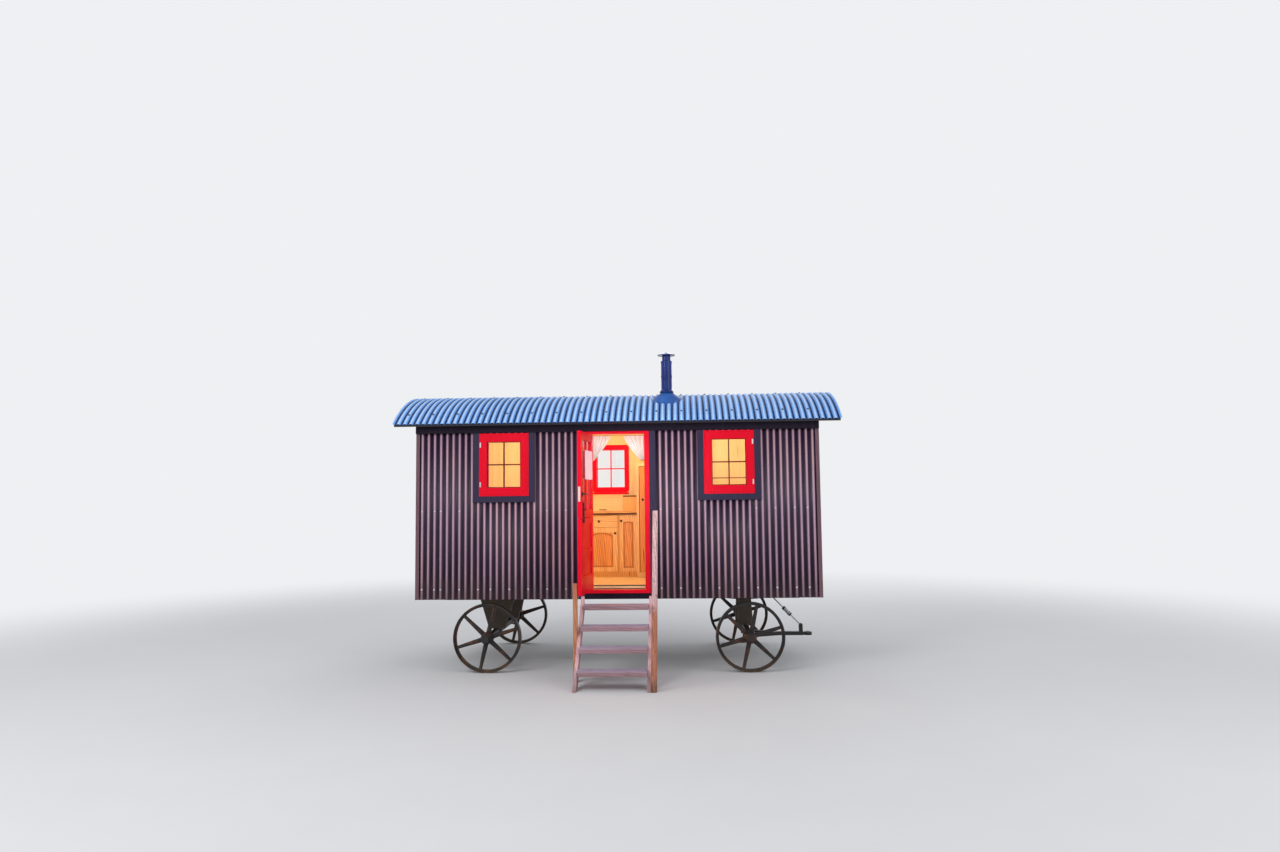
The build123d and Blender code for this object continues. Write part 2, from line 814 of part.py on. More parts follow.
# Turntable: fixed plate with the kingpin, turning plate and posts below
with BuildPart() as fixed_plate:
    with BuildSketch(Plane.XY.offset(turntable_top)):
        with Locations((front_axle_x, mid_y)):
            Circle(turntable_radius)
    extrude(amount=turntable_thickness)
    inner = bearer_y - bearer_width / 2
    low = (front_axle_x - bolster_width / 2, mid_y - inner, bearer_bottom)
    block(low, (front_axle_x + bolster_width / 2, mid_y + inner, floor_bottom))
    pin_bottom = lower_plate_bottom - kingpin_head_gap
    with BuildSketch(Plane.XY.offset(pin_bottom)):
        with Locations((front_axle_x, mid_y)):
            Circle(kingpin_radius)
    extrude(amount=turntable_top - pin_bottom)
    with BuildSketch(Plane.XY.offset(pin_bottom)):
        with Locations((front_axle_x, mid_y)):
            Circle(kingpin_head)
    extrude(amount=-kingpin_head_depth)
save(fixed_plate.part, "turntable_fixed_plate")

with BuildPart() as turning_plate:
    with BuildSketch(Plane.XY.offset(lower_plate_bottom)):
        with Locations((front_axle_x, mid_y)):
            Circle(turntable_radius)
            Circle(kingpin_radius + running_clearance, mode=Mode.SUBTRACT)
    extrude(amount=turntable_thickness)
    arm_low = lower_plate_bottom - stay_arm_thickness
    low = (front_axle_x + turntable_radius / 2, mid_y - stay_arm_width / 2, arm_low)
    block(low, (stay_top[0] + lug_radius, mid_y + stay_arm_width / 2, lower_plate_bottom))
    with BuildSketch(Plane.XZ.offset(-mid_y)):
        with Locations((stay_top[0], (stay_top[1] + lower_plate_bottom) / 2)):
            Rectangle(2 * lug_radius, stay_top[1] - lower_plate_bottom + lug_radius)
    extrude(amount=lug_thickness / 2, both=True)
    with BuildSketch(stay_plane):
        Circle(stay_radius + running_clearance)
    extrude(amount=stay_run / 2, mode=Mode.SUBTRACT)
save(turning_plate.part, "turntable_turning_plate")

with BuildPart() as fore_posts:
    axle_posts(front_axle_x, fore_post_spacing, fore_post_top, lower_plate_bottom)
save(fore_posts.part, "fore_axle_posts")

# Drawbar: two arms from the axle meeting in a bar that ends in the eye
arm_root_x = front_axle_x + axle_size / 2
arm_join_x = arm_root_x + drawbar_spread
with BuildPart() as drawbar:
    bar_half = drawbar_width / 2
    arm_half = drawbar_spread / 2
    drop = wheel_radius - axle_size / 2
    with BuildSketch(Plane.XY.offset(drawbar_height - drawbar_depth / 2)):
        for side in (-1, 1):
            with BuildLine():
                Polyline(
                    (front_axle_x - axle_size / 2, mid_y + side * arm_half),
                    (arm_root_x, mid_y + side * arm_half),
                    (arm_join_x, mid_y + side * bar_half),
                    (arm_join_x, mid_y),
                    (arm_join_x - drawbar_width, mid_y),
                    (arm_root_x, mid_y + side * (arm_half - drawbar_width)),
                    (front_axle_x - axle_size / 2, mid_y + side * (arm_half - drawbar_width)),
                    close=True,
                )
            make_face()
        with Locations(((arm_join_x + drawbar_end) / 2, mid_y)):
            Rectangle(drawbar_end - arm_join_x, drawbar_width)
    extrude(amount=drawbar_depth)
    for side in (-1, 1):
        y_arm = mid_y + side * (arm_half - bar_half)
        low = (front_axle_x - axle_size / 2, y_arm - bar_half, drawbar_height + drawbar_depth / 2)
        block(low, (front_axle_x + axle_size / 2, y_arm + bar_half, drop))
    with BuildSketch(Plane.XZ.offset(-mid_y)):
        with Locations(stay_foot):
            Circle(lug_radius)
        with Locations((stay_foot[0], (drawbar_height + stay_foot[1]) / 2)):
            Rectangle(2 * lug_radius, stay_foot[1] - drawbar_height)
    extrude(amount=lug_thickness / 2, both=True)
    with BuildSketch(stay_plane.offset(lug_radius)):
        Circle(stay_radius + running_clearance)
    extrude(amount=stay_run - lug_radius, mode=Mode.SUBTRACT)
save(drawbar.part, "drawbar")

with BuildPart() as eye:
    with BuildSketch(Plane.XY.offset(drawbar_height - eye_thickness / 2)):
        with Locations((eye_centre, mid_y)):
            Circle(eye_radius)
        with Locations(((drawbar_end + eye_centre) / 2, mid_y)):
            Rectangle(eye_centre - drawbar_end, drawbar_width)
        with Locations((eye_centre, mid_y)):
            Circle(eye_bore, mode=Mode.SUBTRACT)
    extrude(amount=eye_thickness)
save(eye.part, "towing_eye")

# Stay that holds the drawbar up, with lugs and turnbuckle
with BuildPart() as stay:
    with BuildSketch(stay_plane):
        Circle(stay_radius)
    extrude(amount=stay_run)
    with BuildSketch(stay_plane.offset(stay_run * turnbuckle_share - turnbuckle_length / 2)):
        Circle(turnbuckle_radius)
    extrude(amount=turnbuckle_length)
save(stay.part, "drawbar_stay")


# Steps: sloping stringers, four treads, a tall hand pole and a short post
stringer_in = tread_length / 2
stringer_slope = math.atan2(tread_rise, tread_going)
rise_per_mm = tread_rise / tread_going
depth_z = stringer_depth / math.cos(stringer_slope)
y_foot = front_y - steps_reach
y_top = front_y - sill_proud
z_top = rise_per_mm * (y_top - y_foot)
with BuildPart() as stringers:
    for side in (-1, 1):
        points = [(y_foot, 0), (y_foot + depth_z / rise_per_mm, 0), (y_top, z_top - depth_z), (y_top, z_top)]
        profile = outline(Plane.YZ.offset(side * stringer_in), points)
        extrude(profile, amount=side * stringer_thickness)
save(stringers.part, "step_stringers")

with BuildPart() as treads:
    for n in range(tread_count):
        y_front = front_y - top_tread_reach - n * tread_going
        z_tread = top_tread_height - n * tread_rise
        low = (-stringer_in, y_front, z_tread - tread_thickness)
        block(low, (stringer_in, y_front + tread_depth, z_tread))
save(treads.part, "step_treads")

# The pole is hewn with flats from its foot to its thinner, leaning top
pole_x = stringer_in + stringer_thickness + step_pole_radius
pole_y = y_foot + step_pole_radius
pole_foot = (pole_x, 0, step_pole_radius)
pole_tip = (pole_x + step_pole_lean, step_pole_top, step_pole_tip_radius)
with BuildPart() as pole:
    for x, z, radius in (pole_foot, pole_tip):
        with BuildSketch(Plane.XY.offset(z)):
            with Locations((x, pole_y)):
                RegularPolygon(radius, step_pole_sides)
    loft(ruled=True)
save(pole.part, "step_hand_pole")

with BuildPart() as post:
    x_post = -stringer_in - stringer_thickness - stop_post_width / 2
    y_post = front_y - stop_post_reach
    with BuildSketch(Plane.XY):
        with Locations((x_post, y_post)):
            Rectangle(stop_post_width, stop_post_width)
    extrude(amount=stop_post_top)
save(post.part, "step_side_post")


# Flue: twin-wall pipe with its neck, rain cap and flashing cone
def roof_cut(radius):
    with BuildSketch(arch_plane) as shape:
        Circle(radius)
    extrude(shape.sketch, amount=roof_end, both=True, mode=Mode.SUBTRACT)


flue_axis = Axis((flue_x, flue_y, 0), (0, 0, 1))
flue_section = Plane(origin=(flue_x, flue_y, 0), x_dir=(1, 0, 0), z_dir=(0, -1, 0))
with BuildPart() as pipe:
    bore = flue_neck_radius - flue_wall
    points = [(bore, eave_height), (flue_radius, eave_height), (flue_radius, flue_shoulder),
              (flue_neck_radius, flue_shoulder + flue_shoulder_slope), (flue_neck_radius, flue_neck_top),
              (bore, flue_neck_top)]
    profile = outline(flue_section, points)
    revolve(profile, axis=flue_axis)
    roof_cut(deck_outer)
save(pipe.part, "flue_pipe")

with BuildPart() as flue_cap:
    rim_top = flue_neck_top + cap_rim_height
    points = [(0, flue_neck_top), (cap_rim_radius, flue_neck_top), (cap_rim_radius, rim_top),
              (cap_tip_radius, rim_top + cap_cone_rise), (0, rim_top + cap_cone_rise)]
    profile = outline(flue_section, points)
    revolve(profile, axis=flue_axis)
save(flue_cap.part, "flue_cap")

with BuildPart() as flashing:
    # a cone with a short collar, its foot cut to the roof's curve
    foot_z = arch_z + math.sqrt(roof_radius**2 - (flue_y - flashing_foot_radius - mid_y) ** 2)
    top_z = foot_z + flashing_height
    collar = flue_radius + flashing_wall
    points = [(flue_radius, top_z), (collar, top_z), (collar, top_z - flashing_collar),
              (flashing_foot_radius, foot_z), (flashing_foot_radius - 2 * flashing_wall, foot_z),
              (flue_radius, top_z - 2 * flashing_collar)]
    profile = outline(flue_section, points)
    revolve(profile, axis=flue_axis)
    roof_cut(roof_radius)
save(flashing.part, "flue_flashing")


# Cupboards: pine carcasses open to the room, fronts with raised panels
carcass_y = room_back - cupboard_depth
with BuildPart() as carcass:
    block((base_left, carcass_y, floor_top), (base_right, room_back, base_top))
    y_open = carcass_y - 1
    y_rear = room_back - panel_board
    left_in = (base_left + panel_board, unit_split - stile_width / 2)
    right_in = (unit_split + stile_width / 2, base_right - panel_board)
    base_board = floor_top + plinth_height
    rail = drawer_bottom - front_gap
    for x_pair, z_pair in (
        (left_in, (base_board, rail - panel_board)),
        (left_in, (rail, base_top)),
        (right_in, (base_board, base_top)),
    ):
        block((x_pair[0], y_open, z_pair[0]), (x_pair[1], y_rear, z_pair[1]), Mode.SUBTRACT)
save(carcass.part, "base_cupboard")

with BuildPart() as worktop:
    low = (base_left, carcass_y - front_gap - front_thickness - worktop_overhang, base_top)
    block(low, (base_right, room_back, base_top + worktop_thickness))
save(worktop.part, "worktop")

tall_y = room_back - tall_depth
tall_right = base_right + tall_width
with BuildPart() as tall:
    # its near corner stands in front of the worktop's end
    block((base_right, tall_y, floor_top), (tall_right, room_back, tall_top))
    low = (base_right + panel_board, tall_y + panel_board, base_board)
    block(low, (tall_right - panel_board, room_back - panel_board, tall_top - panel_board), Mode.SUBTRACT)
    # its front is a frame of stiles and a top rail round the opening
    low = (base_right + tall_stile, tall_y - 1, base_board)
    block(low, (tall_right - tall_stile, tall_y + panel_board, tall_top - tall_rail), Mode.SUBTRACT)
save(tall.part, "tall_cupboard")


def cupboard_front(x_low, x_high, z_low, z_high, y_carcass, border, head, arch, knob, butt_x):
    y_face = y_carcass - front_gap - front_thickness
    middle = (x_low + x_high) / 2
    panel_low = z_low + border
    panel_high = z_high - head
    half = (x_high - x_low) / 2 - border
    with BuildPart() as panel:
        block((x_low, y_face, z_low), (x_high, y_face + front_thickness, z_high))
        for inset, mode in ((0, Mode.SUBTRACT), (panel_bead, Mode.ADD)):
            left = middle - half + inset
            right = middle + half - inset
            bottom = panel_low + inset
            top = panel_high - inset
            with BuildSketch(Plane.XZ.offset(-y_face)):
                with BuildLine():
                    Line((left, bottom), (right, bottom))
                    Line((right, bottom), (right, top - arch))
                    if arch:
                        ThreePointArc((right, top - arch), (middle, top), (left, top - arch))
                    else:
                        Line((right, top), (left, top))
                    Line((left, top - arch), (left, bottom))
                make_face()
            # the raised field comes back level with the face
            extrude(amount=-front_relief, mode=mode)
        with BuildSketch(Plane.XZ.offset(-y_face)):
            with Locations(knob):
                Circle(knob_radius)
        extrude(amount=knob_length, taper=knob_taper)
        for z in (z_low + butt_inset, z_high - butt_inset - butt_height):
            with BuildSketch(Plane.XY.offset(z)):
                with Locations((butt_x, y_face)):
                    Circle(butt_radius)
            extrude(amount=butt_height)
    return panel


front_low = floor_top + plinth_height - front_foot_lap
door_high = drawer_bottom - drawer_door_gap
left_pair = (base_left + front_gap, unit_split - stile_width / 2 + front_gap)
right_pair = (unit_split + stile_width / 2 - front_gap, base_right - front_gap)
front_top = base_top - front_gap

left_knob = (left_pair[1] - left_border / 2, door_high - left_knob_drop)
left_door = cupboard_front(*left_pair, front_low, door_high, carcass_y,
                           left_border, left_border, left_panel_arch, left_knob, left_pair[0])
save(left_door.part, "cupboard_door_left")
right_knob = (right_pair[0] + right_border / 2, front_top - right_knob_drop)
right_door = cupboard_front(*right_pair, front_low, front_top, carcass_y,
                            right_border, right_head, right_panel_arch, right_knob, right_pair[1])
save(right_door.part, "cupboard_door_right")
tall_inset = tall_stile - tall_door_lap
tall_pair = (base_right + tall_inset, tall_right - tall_inset)
tall_high = tall_top - tall_rail + tall_door_lap
tall_knob = (tall_pair[0] + tall_knob_inset, tall_knob_height)
tall_door = cupboard_front(*tall_pair, front_low, tall_high, tall_y,
                           tall_border, tall_border, 0.0, tall_knob, tall_pair[1])
save(tall_door.part, "tall_cupboard_door")

with BuildPart() as drawer:
    y_face = carcass_y - front_gap - front_thickness
    drawer_top = drawer_bottom + drawer_front_height
    block((left_pair[0], y_face, drawer_bottom), (left_pair[1], y_face + front_thickness, drawer_top))
    box_low = (left_in[0] + front_gap, y_face + front_thickness, drawer_bottom + front_gap)
    box_rear = y_face + front_thickness + drawer_length
    box_high = (left_in[1] - front_gap, box_rear, drawer_top - drawer_side_drop)
    block(box_low, box_high)
    inner_low = [v + drawer_wall for v in box_low]
    inner_high = (box_high[0] - drawer_wall, box_high[1] - drawer_wall, drawer_top)
    inner_low[1] = box_low[1]
    block(inner_low, inner_high, Mode.SUBTRACT)
    knob_x = (left_pair[0] + left_pair[1]) / 2 + drawer_knob_shift
    with BuildSketch(Plane.XZ.offset(-y_face)):
        with Locations((knob_x, (drawer_bottom + drawer_top) / 2)):
            Circle(knob_radius)
    extrude(amount=knob_length, taper=knob_taper)
save(drawer.part, "cupboard_drawer")

# Tied-back curtains: soft wedges that hang inside the doorway
curtain_y = room_front + curtain_gap
with BuildPart() as curtains:
    for side in (-1, 1):
        x_edge = doorway_x + side * (doorway_half - curtain_side_gap)
        points = [
            (x_edge, curtain_top),
            (x_edge - side * curtain_sweep, curtain_top),
            (x_edge - side * curtain_waist, (curtain_top + curtain_tie) / 2),
            (x_edge - side * curtain_tail, curtain_tie),
            (x_edge, curtain_tie),
        ]
        profile = outline(Plane.XZ.offset(-curtain_y), points)
        extrude(profile, amount=-curtain_thickness)
save(curtains.part, "door_curtains")
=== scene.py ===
import math

import bmesh
import bpy
from mathutils import Matrix, Vector, noise


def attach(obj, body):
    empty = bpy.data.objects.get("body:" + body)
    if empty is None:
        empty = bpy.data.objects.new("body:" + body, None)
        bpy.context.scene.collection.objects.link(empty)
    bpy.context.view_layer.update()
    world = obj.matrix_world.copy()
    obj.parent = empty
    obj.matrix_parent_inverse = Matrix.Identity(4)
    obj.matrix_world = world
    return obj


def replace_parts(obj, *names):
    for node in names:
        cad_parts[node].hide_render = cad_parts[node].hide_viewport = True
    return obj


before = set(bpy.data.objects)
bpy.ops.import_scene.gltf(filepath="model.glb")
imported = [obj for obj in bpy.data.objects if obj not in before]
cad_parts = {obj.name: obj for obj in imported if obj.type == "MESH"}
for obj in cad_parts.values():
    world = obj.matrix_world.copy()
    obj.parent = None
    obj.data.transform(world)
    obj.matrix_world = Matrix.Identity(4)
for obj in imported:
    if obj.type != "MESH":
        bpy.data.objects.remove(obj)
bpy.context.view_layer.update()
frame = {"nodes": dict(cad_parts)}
nodes = frame["nodes"]
scene = bpy.context.scene
quarter = math.pi / 2
here = Matrix.Identity(4)


def turned(place, angle, axis="Z"):
    return Matrix.Translation(place) @ Matrix.Rotation(angle, 4, axis)


# Places of the hut in metres, the same as in its source
front_y = -0.703
back_y = 1.583
mid_y = 0.440
end_x = 2.4385
wall_bottom = 0.880
sheet_top = 2.905
floor_top = 0.990
room_front = -0.614
room_back = 1.494
room_end = 2.3495
roof_radius = 2.0473
arch_z = 1.3897
deck_outer = 2.0283
deck_inner = 2.0043
eave_reach = 1.263
roof_half_angle = math.asin(eave_reach / roof_radius)
roof_end = 2.7065
sheet_pitch = 0.0762
sheet_depth = 0.019
sheet_gauge = 0.001
wave_depth = sheet_depth - sheet_gauge
board_width = 0.098
floor_board_width = 0.118
cupboard_face = 0.869
tall_cupboard_face = 0.724
worktop_lip_top = 1.866
curtain_y = -0.577

# Windows and doorway
window_x = 1.360
back_window_x = -0.235
window_z = 2.497
rough_size = (0.530, 0.686)
glass_size = (0.410, 0.556)
flange_proud = 0.018
frame_left = -0.379
frame_right = 0.403
door_left = -0.329
door_right = 0.353

# Door leaf, drawn open at its rest angle round the hinge pin
pin = Vector((-0.338, -0.723, 0.0))
open_angle = math.radians(96.0)
leaf_start = 0.014
leaf_end = 0.683
leaf_outer = 0.022
leaf_inner = 0.066
leaf_split = 1.857
leaf_frame = turned(pin, -open_angle)

# Flue
flue_x = 0.620
flue_y = -0.238
flue_radius = 0.0685

# Camera where the photograph was taken from
photo_width = 1280
photo_focal = 877.03
camera_place = Vector((0.7613, -11.2685, 2.122))
camera_yaw = -0.0439
camera_pitch = 0.0775
camera_roll = -0.0115
sensor_width = 36.0


def set_camera():
    level_reach = math.cos(camera_pitch)
    forward = Vector((math.sin(camera_yaw) * level_reach, math.cos(camera_yaw) * level_reach,
                      math.sin(camera_pitch)))
    level = Vector((math.cos(camera_yaw), -math.sin(camera_yaw), 0.0))
    upright = level.cross(forward)
    right = level * math.cos(camera_roll) + upright * math.sin(camera_roll)
    up = upright * math.cos(camera_roll) - level * math.sin(camera_roll)
    data = bpy.data.cameras.new("photo_camera")
    data.sensor_width = sensor_width
    data.lens = photo_focal * sensor_width / photo_width
    data.clip_end = 500.0
    camera = bpy.data.objects.new("photo_camera", data)
    turn = Matrix((right, up, -forward)).transposed()
    camera.matrix_world = Matrix.Translation(camera_place) @ turn.to_4x4()
    scene.collection.objects.link(camera)
    scene.camera = camera


set_camera()
scene.view_settings.view_transform = "Standard"


class Value:
    """A node's output, which takes part in sums as a number does."""
    def __init__(self, nodes, socket):
        self.nodes = nodes
        self.socket = socket

    def __add__(self, other):
        return self.nodes.math("ADD", self, other)

    def __sub__(self, other):
        return self.nodes.math("SUBTRACT", self, other)

    def __rsub__(self, other):
        return self.nodes.math("SUBTRACT", other, self)

    def __mul__(self, other):
        return self.nodes.math("MULTIPLY", self, other)

    def __truediv__(self, other):
        return self.nodes.math("DIVIDE", self, other)

    def __pow__(self, other):
        return self.nodes.math("POWER", self, other)


class Nodes:
    """Grows a node tree by short calls: a value is a number, a colour, a node or another node's output."""
    def __init__(self, tree):
        self.tree = tree

    def join(self, value, socket):
        if isinstance(value, bpy.types.Node):
            value = value.outputs[0]
        if isinstance(value, Value):
            value = value.socket
        if isinstance(value, bpy.types.NodeSocket):
            self.tree.links.new(value, socket)
        elif socket.type == "RGBA":
            socket.default_value = (*value, 1.0)
        else:
            socket.default_value = value

    def put(self, kind, inputs=None, **settings):
        node = self.tree.nodes.new(kind)
        for name, value in settings.items():
            setattr(node, name, value)
        for name, value in (inputs or {}).items():
            self.join(value, node.inputs[name])
        return node

    def named(self, node):
        return {socket.name: Value(self, socket) for socket in node.outputs}

    def out(self, kind, inputs=None, which=0, **settings):
        return Value(self, self.put(kind, inputs, **settings).outputs[which])

    def group(self, tree, inputs):
        return self.named(self.put("ShaderNodeGroup", inputs, node_tree=tree))

    def math(self, operation, *values):
        return self.out("ShaderNodeMath", dict(enumerate(values)), operation=operation)

    def split(self, vector):
        node = self.put("ShaderNodeSeparateXYZ", {0: vector})
        return [Value(self, socket) for socket in node.outputs]

    def vector(self, *values):
        return self.out("ShaderNodeCombineXYZ", dict(enumerate(values)))

    def times(self, vector, scale):
        return self.out("ShaderNodeVectorMath", {0: vector, 1: scale}, operation="MULTIPLY")

    def remap(self, value, low, high, to_low=0.0, to_high=1.0):
        return self.out("ShaderNodeMapRange", dict(enumerate((value, low, high, to_low, to_high))))

    def mix(self, share, first, second):
        return self.out("ShaderNodeMix", {0: share, 6: first, 7: second}, 2, data_type="RGBA")

    def noise(self, vector, scale, detail=3.0, roughness=0.55):
        inputs = {"Vector": vector, "Scale": scale, "Detail": detail, "Roughness": roughness}
        return self.out("ShaderNodeTexNoise", inputs)

    def give(self, **outputs):
        for name, value in outputs.items():
            self.join(value, self.end[name])
        return self.tree


def floats(*names):
    return dict.fromkeys(names, "Float")


def new_tree(name, inputs, outputs, kind="ShaderNodeTree"):
    """An empty node group with named sockets, and what is given to it."""
    tree = bpy.data.node_groups.new(name, kind)
    for way, sockets in (("INPUT", inputs), ("OUTPUT", outputs)):
        for socket, socket_kind in sockets.items():
            tree.interface.new_socket(name=socket, in_out=way, socket_type="NodeSocket" + socket_kind)
    made = Nodes(tree)
    made.end = made.put("NodeGroupOutput").inputs
    return made, made.named(made.put("NodeGroupInput"))


# Shader groups that several finishes share
def timber_grain_group():
    inputs = {"Vector": "Vector", "Stretch": "Vector", "Light": "Color", "Dark": "Color", "Knots": "Float"}
    made, given = new_tree("timber_grain", inputs, {"Color": "Color", **floats("Figure", "Height")})
    laid = made.times(given["Vector"], given["Stretch"])
    wave = {"Vector": laid, "Scale": 3.4, "Distortion": 7.0, "Detail": 3.0, "Detail Scale": 0.7}
    bands = made.out("ShaderNodeTexWave", wave, "Fac", wave_type="BANDS", bands_direction="DIAGONAL")
    fibres = made.noise(laid, 34.0, 6.0, 0.7)
    figure = made.remap(bands * 0.35 + made.noise(laid, 1.6, 2.0) * 0.35 + fibres * 0.45, 0.25, 0.95)
    colour = made.mix(figure, given["Light"], given["Dark"])
    cells = made.out("ShaderNodeTexVoronoi", {"Vector": laid, "Scale": 1.7}, "Distance")
    knot = made.remap(cells, 0.05, 0.13, 1.0, 0.0) * given["Knots"]
    colour = made.mix(knot, colour, (0.10, 0.035, 0.012))
    return made.give(Color=colour, Figure=figure, Height=fibres * 0.7 + figure * 0.3)


def weather_marks_group():
    outputs = floats("Blotch", "Streaks", "Specks")
    made, given = new_tree("weather_marks", {"Vector": "Vector", "Scale": "Float"}, outputs)
    wide = made.out("ShaderNodeVectorMath", {0: given["Vector"], "Scale": given["Scale"]}, operation="SCALE")
    run = made.times(wide, (9.0, 9.0, 0.5))
    return made.give(Blotch=made.remap(made.noise(wide, 1.0, 5.0, 0.6), 0.36, 0.66),
                     Streaks=made.remap(made.noise(run, 1.0, 4.0, 0.6), 0.50, 0.78),
                     Specks=made.remap(made.noise(wide, 42.0, 2.0), 0.64, 0.74))


def ground_splash_group():
    made, given = new_tree("ground_splash", {"Vector": "Vector", **floats("Foot", "Reach")}, floats("Mask"))
    rough = made.noise(given["Vector"], 7.0, 5.0, 0.65) * 1.4 - 0.7
    level = (made.split(given["Vector"])[2] - given["Foot"]) / given["Reach"]
    return made.give(Mask=made.remap(level + rough, 0.0, 1.0, 1.0, 0.0))


def rust_bloom_group():
    inputs = {"Vector": "Vector", "Cover": "Float", "Paint": "Color"}
    made, given = new_tree("rust_bloom", inputs, {"Color": "Color", **floats("Rust", "Height")})
    edge = 0.72 - given["Cover"] * 0.4
    rust = made.remap(made.noise(given["Vector"], 9.0, 8.0, 0.68), edge, edge + 0.16)
    grit = made.noise(given["Vector"], 160.0, 3.0, 0.6)
    tone = made.mix(grit, (0.055, 0.020, 0.010), (0.20, 0.075, 0.028))
    colour = made.mix(rust, given["Paint"], tone)
    return made.give(Color=colour, Rust=rust, Height=grit * (rust + 0.25) + rust)


def ridge_height_group():
    """How far a point of the cladding stands out, from 0 in a valley to 1 on a ridge."""
    made, given = new_tree("ridge_height", {"Vector": "Vector"}, floats("Wall", "Roof"))
    x, y, z = made.split(given["Vector"])
    off_middle = y - mid_y
    long_side = made.math("ABSOLUTE", off_middle) - (back_y - mid_y - sheet_depth)
    short_side = made.math("ABSOLUTE", x) - (end_x - sheet_depth)
    reach = made.math("SQRT", off_middle**2.0 + (z - arch_z) ** 2.0)
    return made.give(Wall=made.math("MAXIMUM", long_side, short_side) / sheet_depth,
                     Roof=(reach - deck_outer) / sheet_depth)


timber_grain = timber_grain_group()
weather_marks = weather_marks_group()
ground_splash = ground_splash_group()
rust_bloom = rust_bloom_group()
ridge_height = ridge_height_group()


# Finishes
class Finish(Nodes):
    """A material that gets its tone in layers, and is then laid with its roughness and relief."""
    def __init__(self, name, **plain):
        self.material = bpy.data.materials.new(name)
        self.material.use_nodes = True
        self.material.node_tree.nodes.clear()
        super().__init__(self.material.node_tree)
        inputs = {socket.replace("_", " "): value for socket, value in plain.items()}
        self.shader = self.put("ShaderNodeBsdfPrincipled", inputs)
        self.put("ShaderNodeOutputMaterial", {0: self.shader})
        self.place = self.out("ShaderNodeTexCoord", which="Object")

    def marks(self, scale):
        return self.group(weather_marks, {"Vector": self.place, "Scale": scale})

    def splash(self, foot, reach):
        return self.group(ground_splash, {"Vector": self.place, "Foot": foot, "Reach": reach})["Mask"]

    def ridge(self, where):
        return self.group(ridge_height, {"Vector": self.place})[where]

    def grain(self, stretch, light, dark, knots=0.0):
        inputs = {"Vector": self.place, "Stretch": stretch, "Light": light, "Dark": dark, "Knots": knots}
        wood = self.group(timber_grain, inputs)
        self.tone = wood["Color"]
        return wood

    def own_tint(self, number):
        """The same chance value for every point with one whole number."""
        inputs = {"W": self.math("FLOOR", number)}
        return self.out("ShaderNodeTexWhiteNoise", inputs, "Value", noise_dimensions="1D")

    def over(self, share, tone):
        self.tone = self.mix(share, self.tone, tone)

    def lay(self, rough, height, strength, distance):
        """Roughness is given as a share, and its values at share 0 and share 1."""
        share, smoothest, roughest = rough
        self.join(self.tone, self.shader.inputs["Base Color"])
        self.join(self.remap(share, 0.0, 1.0, smoothest, roughest), self.shader.inputs["Roughness"])
        bump = self.put("ShaderNodeBump", {"Height": height, "Strength": strength, "Distance": distance})
        self.join(bump, self.shader.inputs["Normal"])
        return self.material


along_x = (0.55, 7.0, 7.0)
along_y = (7.0, 0.55, 7.0)
along_z = (7.0, 7.0, 0.55)


def plum_coat():
    made = Finish("plum_coat", Specular_IOR_Level=0.30)
    marks = made.marks(1.3)
    ridge = made.ridge("Wall")
    # Painted shade: near black in the valleys of the waves; the flanks carry the paint's own plum
    made.tone = made.mix(marks["Blotch"], (0.016, 0.007, 0.024), (0.026, 0.012, 0.038))
    made.over(made.remap(ridge, 0.30, 0.60), (0.095, 0.044, 0.072))
    # Painted highlight: a pale tone along the ridges
    pale = made.mix(marks["Blotch"], (0.440, 0.290, 0.410), (0.560, 0.360, 0.390))
    made.over(made.remap(ridge, 0.68, 0.92), pale)
    made.over(marks["Streaks"] * 0.14, (0.34, 0.24, 0.26))
    made.over(made.splash(wall_bottom, 0.30) * 0.40, (0.100, 0.070, 0.058))
    made.over(marks["Specks"] * 0.4, (0.04, 0.03, 0.03))
    return made.lay((marks["Blotch"], 0.34, 0.50), made.noise(made.place, 240.0, 2.0), 0.12, 0.0006)


def roof_coat():
    """Each sheet of eight waves has a tint of its own."""
    made = Finish("roof_coat", Specular_IOR_Level=0.15)
    marks = made.marks(1.1)
    ridge = made.ridge("Roof")
    own = made.own_tint(made.split(made.place)[0] / (sheet_pitch * 8))
    made.tone = made.mix(own, (0.165, 0.400, 0.930), (0.215, 0.465, 0.970))
    made.over(marks["Blotch"] * 0.4, (0.150, 0.350, 0.740))
    # Painted highlight along the ridges, and painted shade in the valleys
    made.over(made.remap(ridge, 0.68, 0.97, 0.0, 0.85), (0.600, 0.770, 1.000))
    made.over(made.remap(ridge, 0.10, 0.46, 0.98, 0.0), (0.006, 0.012, 0.060))
    made.over(marks["Specks"] * 0.45, (0.13, 0.14, 0.13))
    return made.lay((marks["Blotch"], 0.50, 0.66), made.noise(made.place, 90.0, 3.0), 0.14, 0.001)


def red_gloss(name, stretch):
    made = Finish(name, Coat_Weight=0.05, Coat_Roughness=0.2, Specular_IOR_Level=0.10)
    grain = made.grain(stretch, (0.86, 0.0008, 0.024), (0.70, 0.0005, 0.014))
    marks = made.marks(2.6)
    made.over(marks["Blotch"] * 0.25, (0.86, 0.003, 0.030))
    made.over(marks["Specks"] * 0.30, (0.20, 0.008, 0.014))
    return made.lay((marks["Blotch"], 0.30, 0.44), grain["Height"], 0.18, 0.0012)


class Pine(Finish):
    """Varnished pine, to which the finishes below add more before it is varnished."""
    def __init__(self, name, stretch, tones, knots=0.7):
        super().__init__(name, Coat_Weight=0.18, Coat_Roughness=0.3)
        self.wood = self.grain(stretch, *tones, knots)
        self.over(self.marks(3.0)["Blotch"] * 0.2, (0.70, 0.37, 0.11))

    def varnished(self):
        return self.lay((self.wood["Figure"], 0.36, 0.52), self.wood["Height"], 0.14, 0.0008)


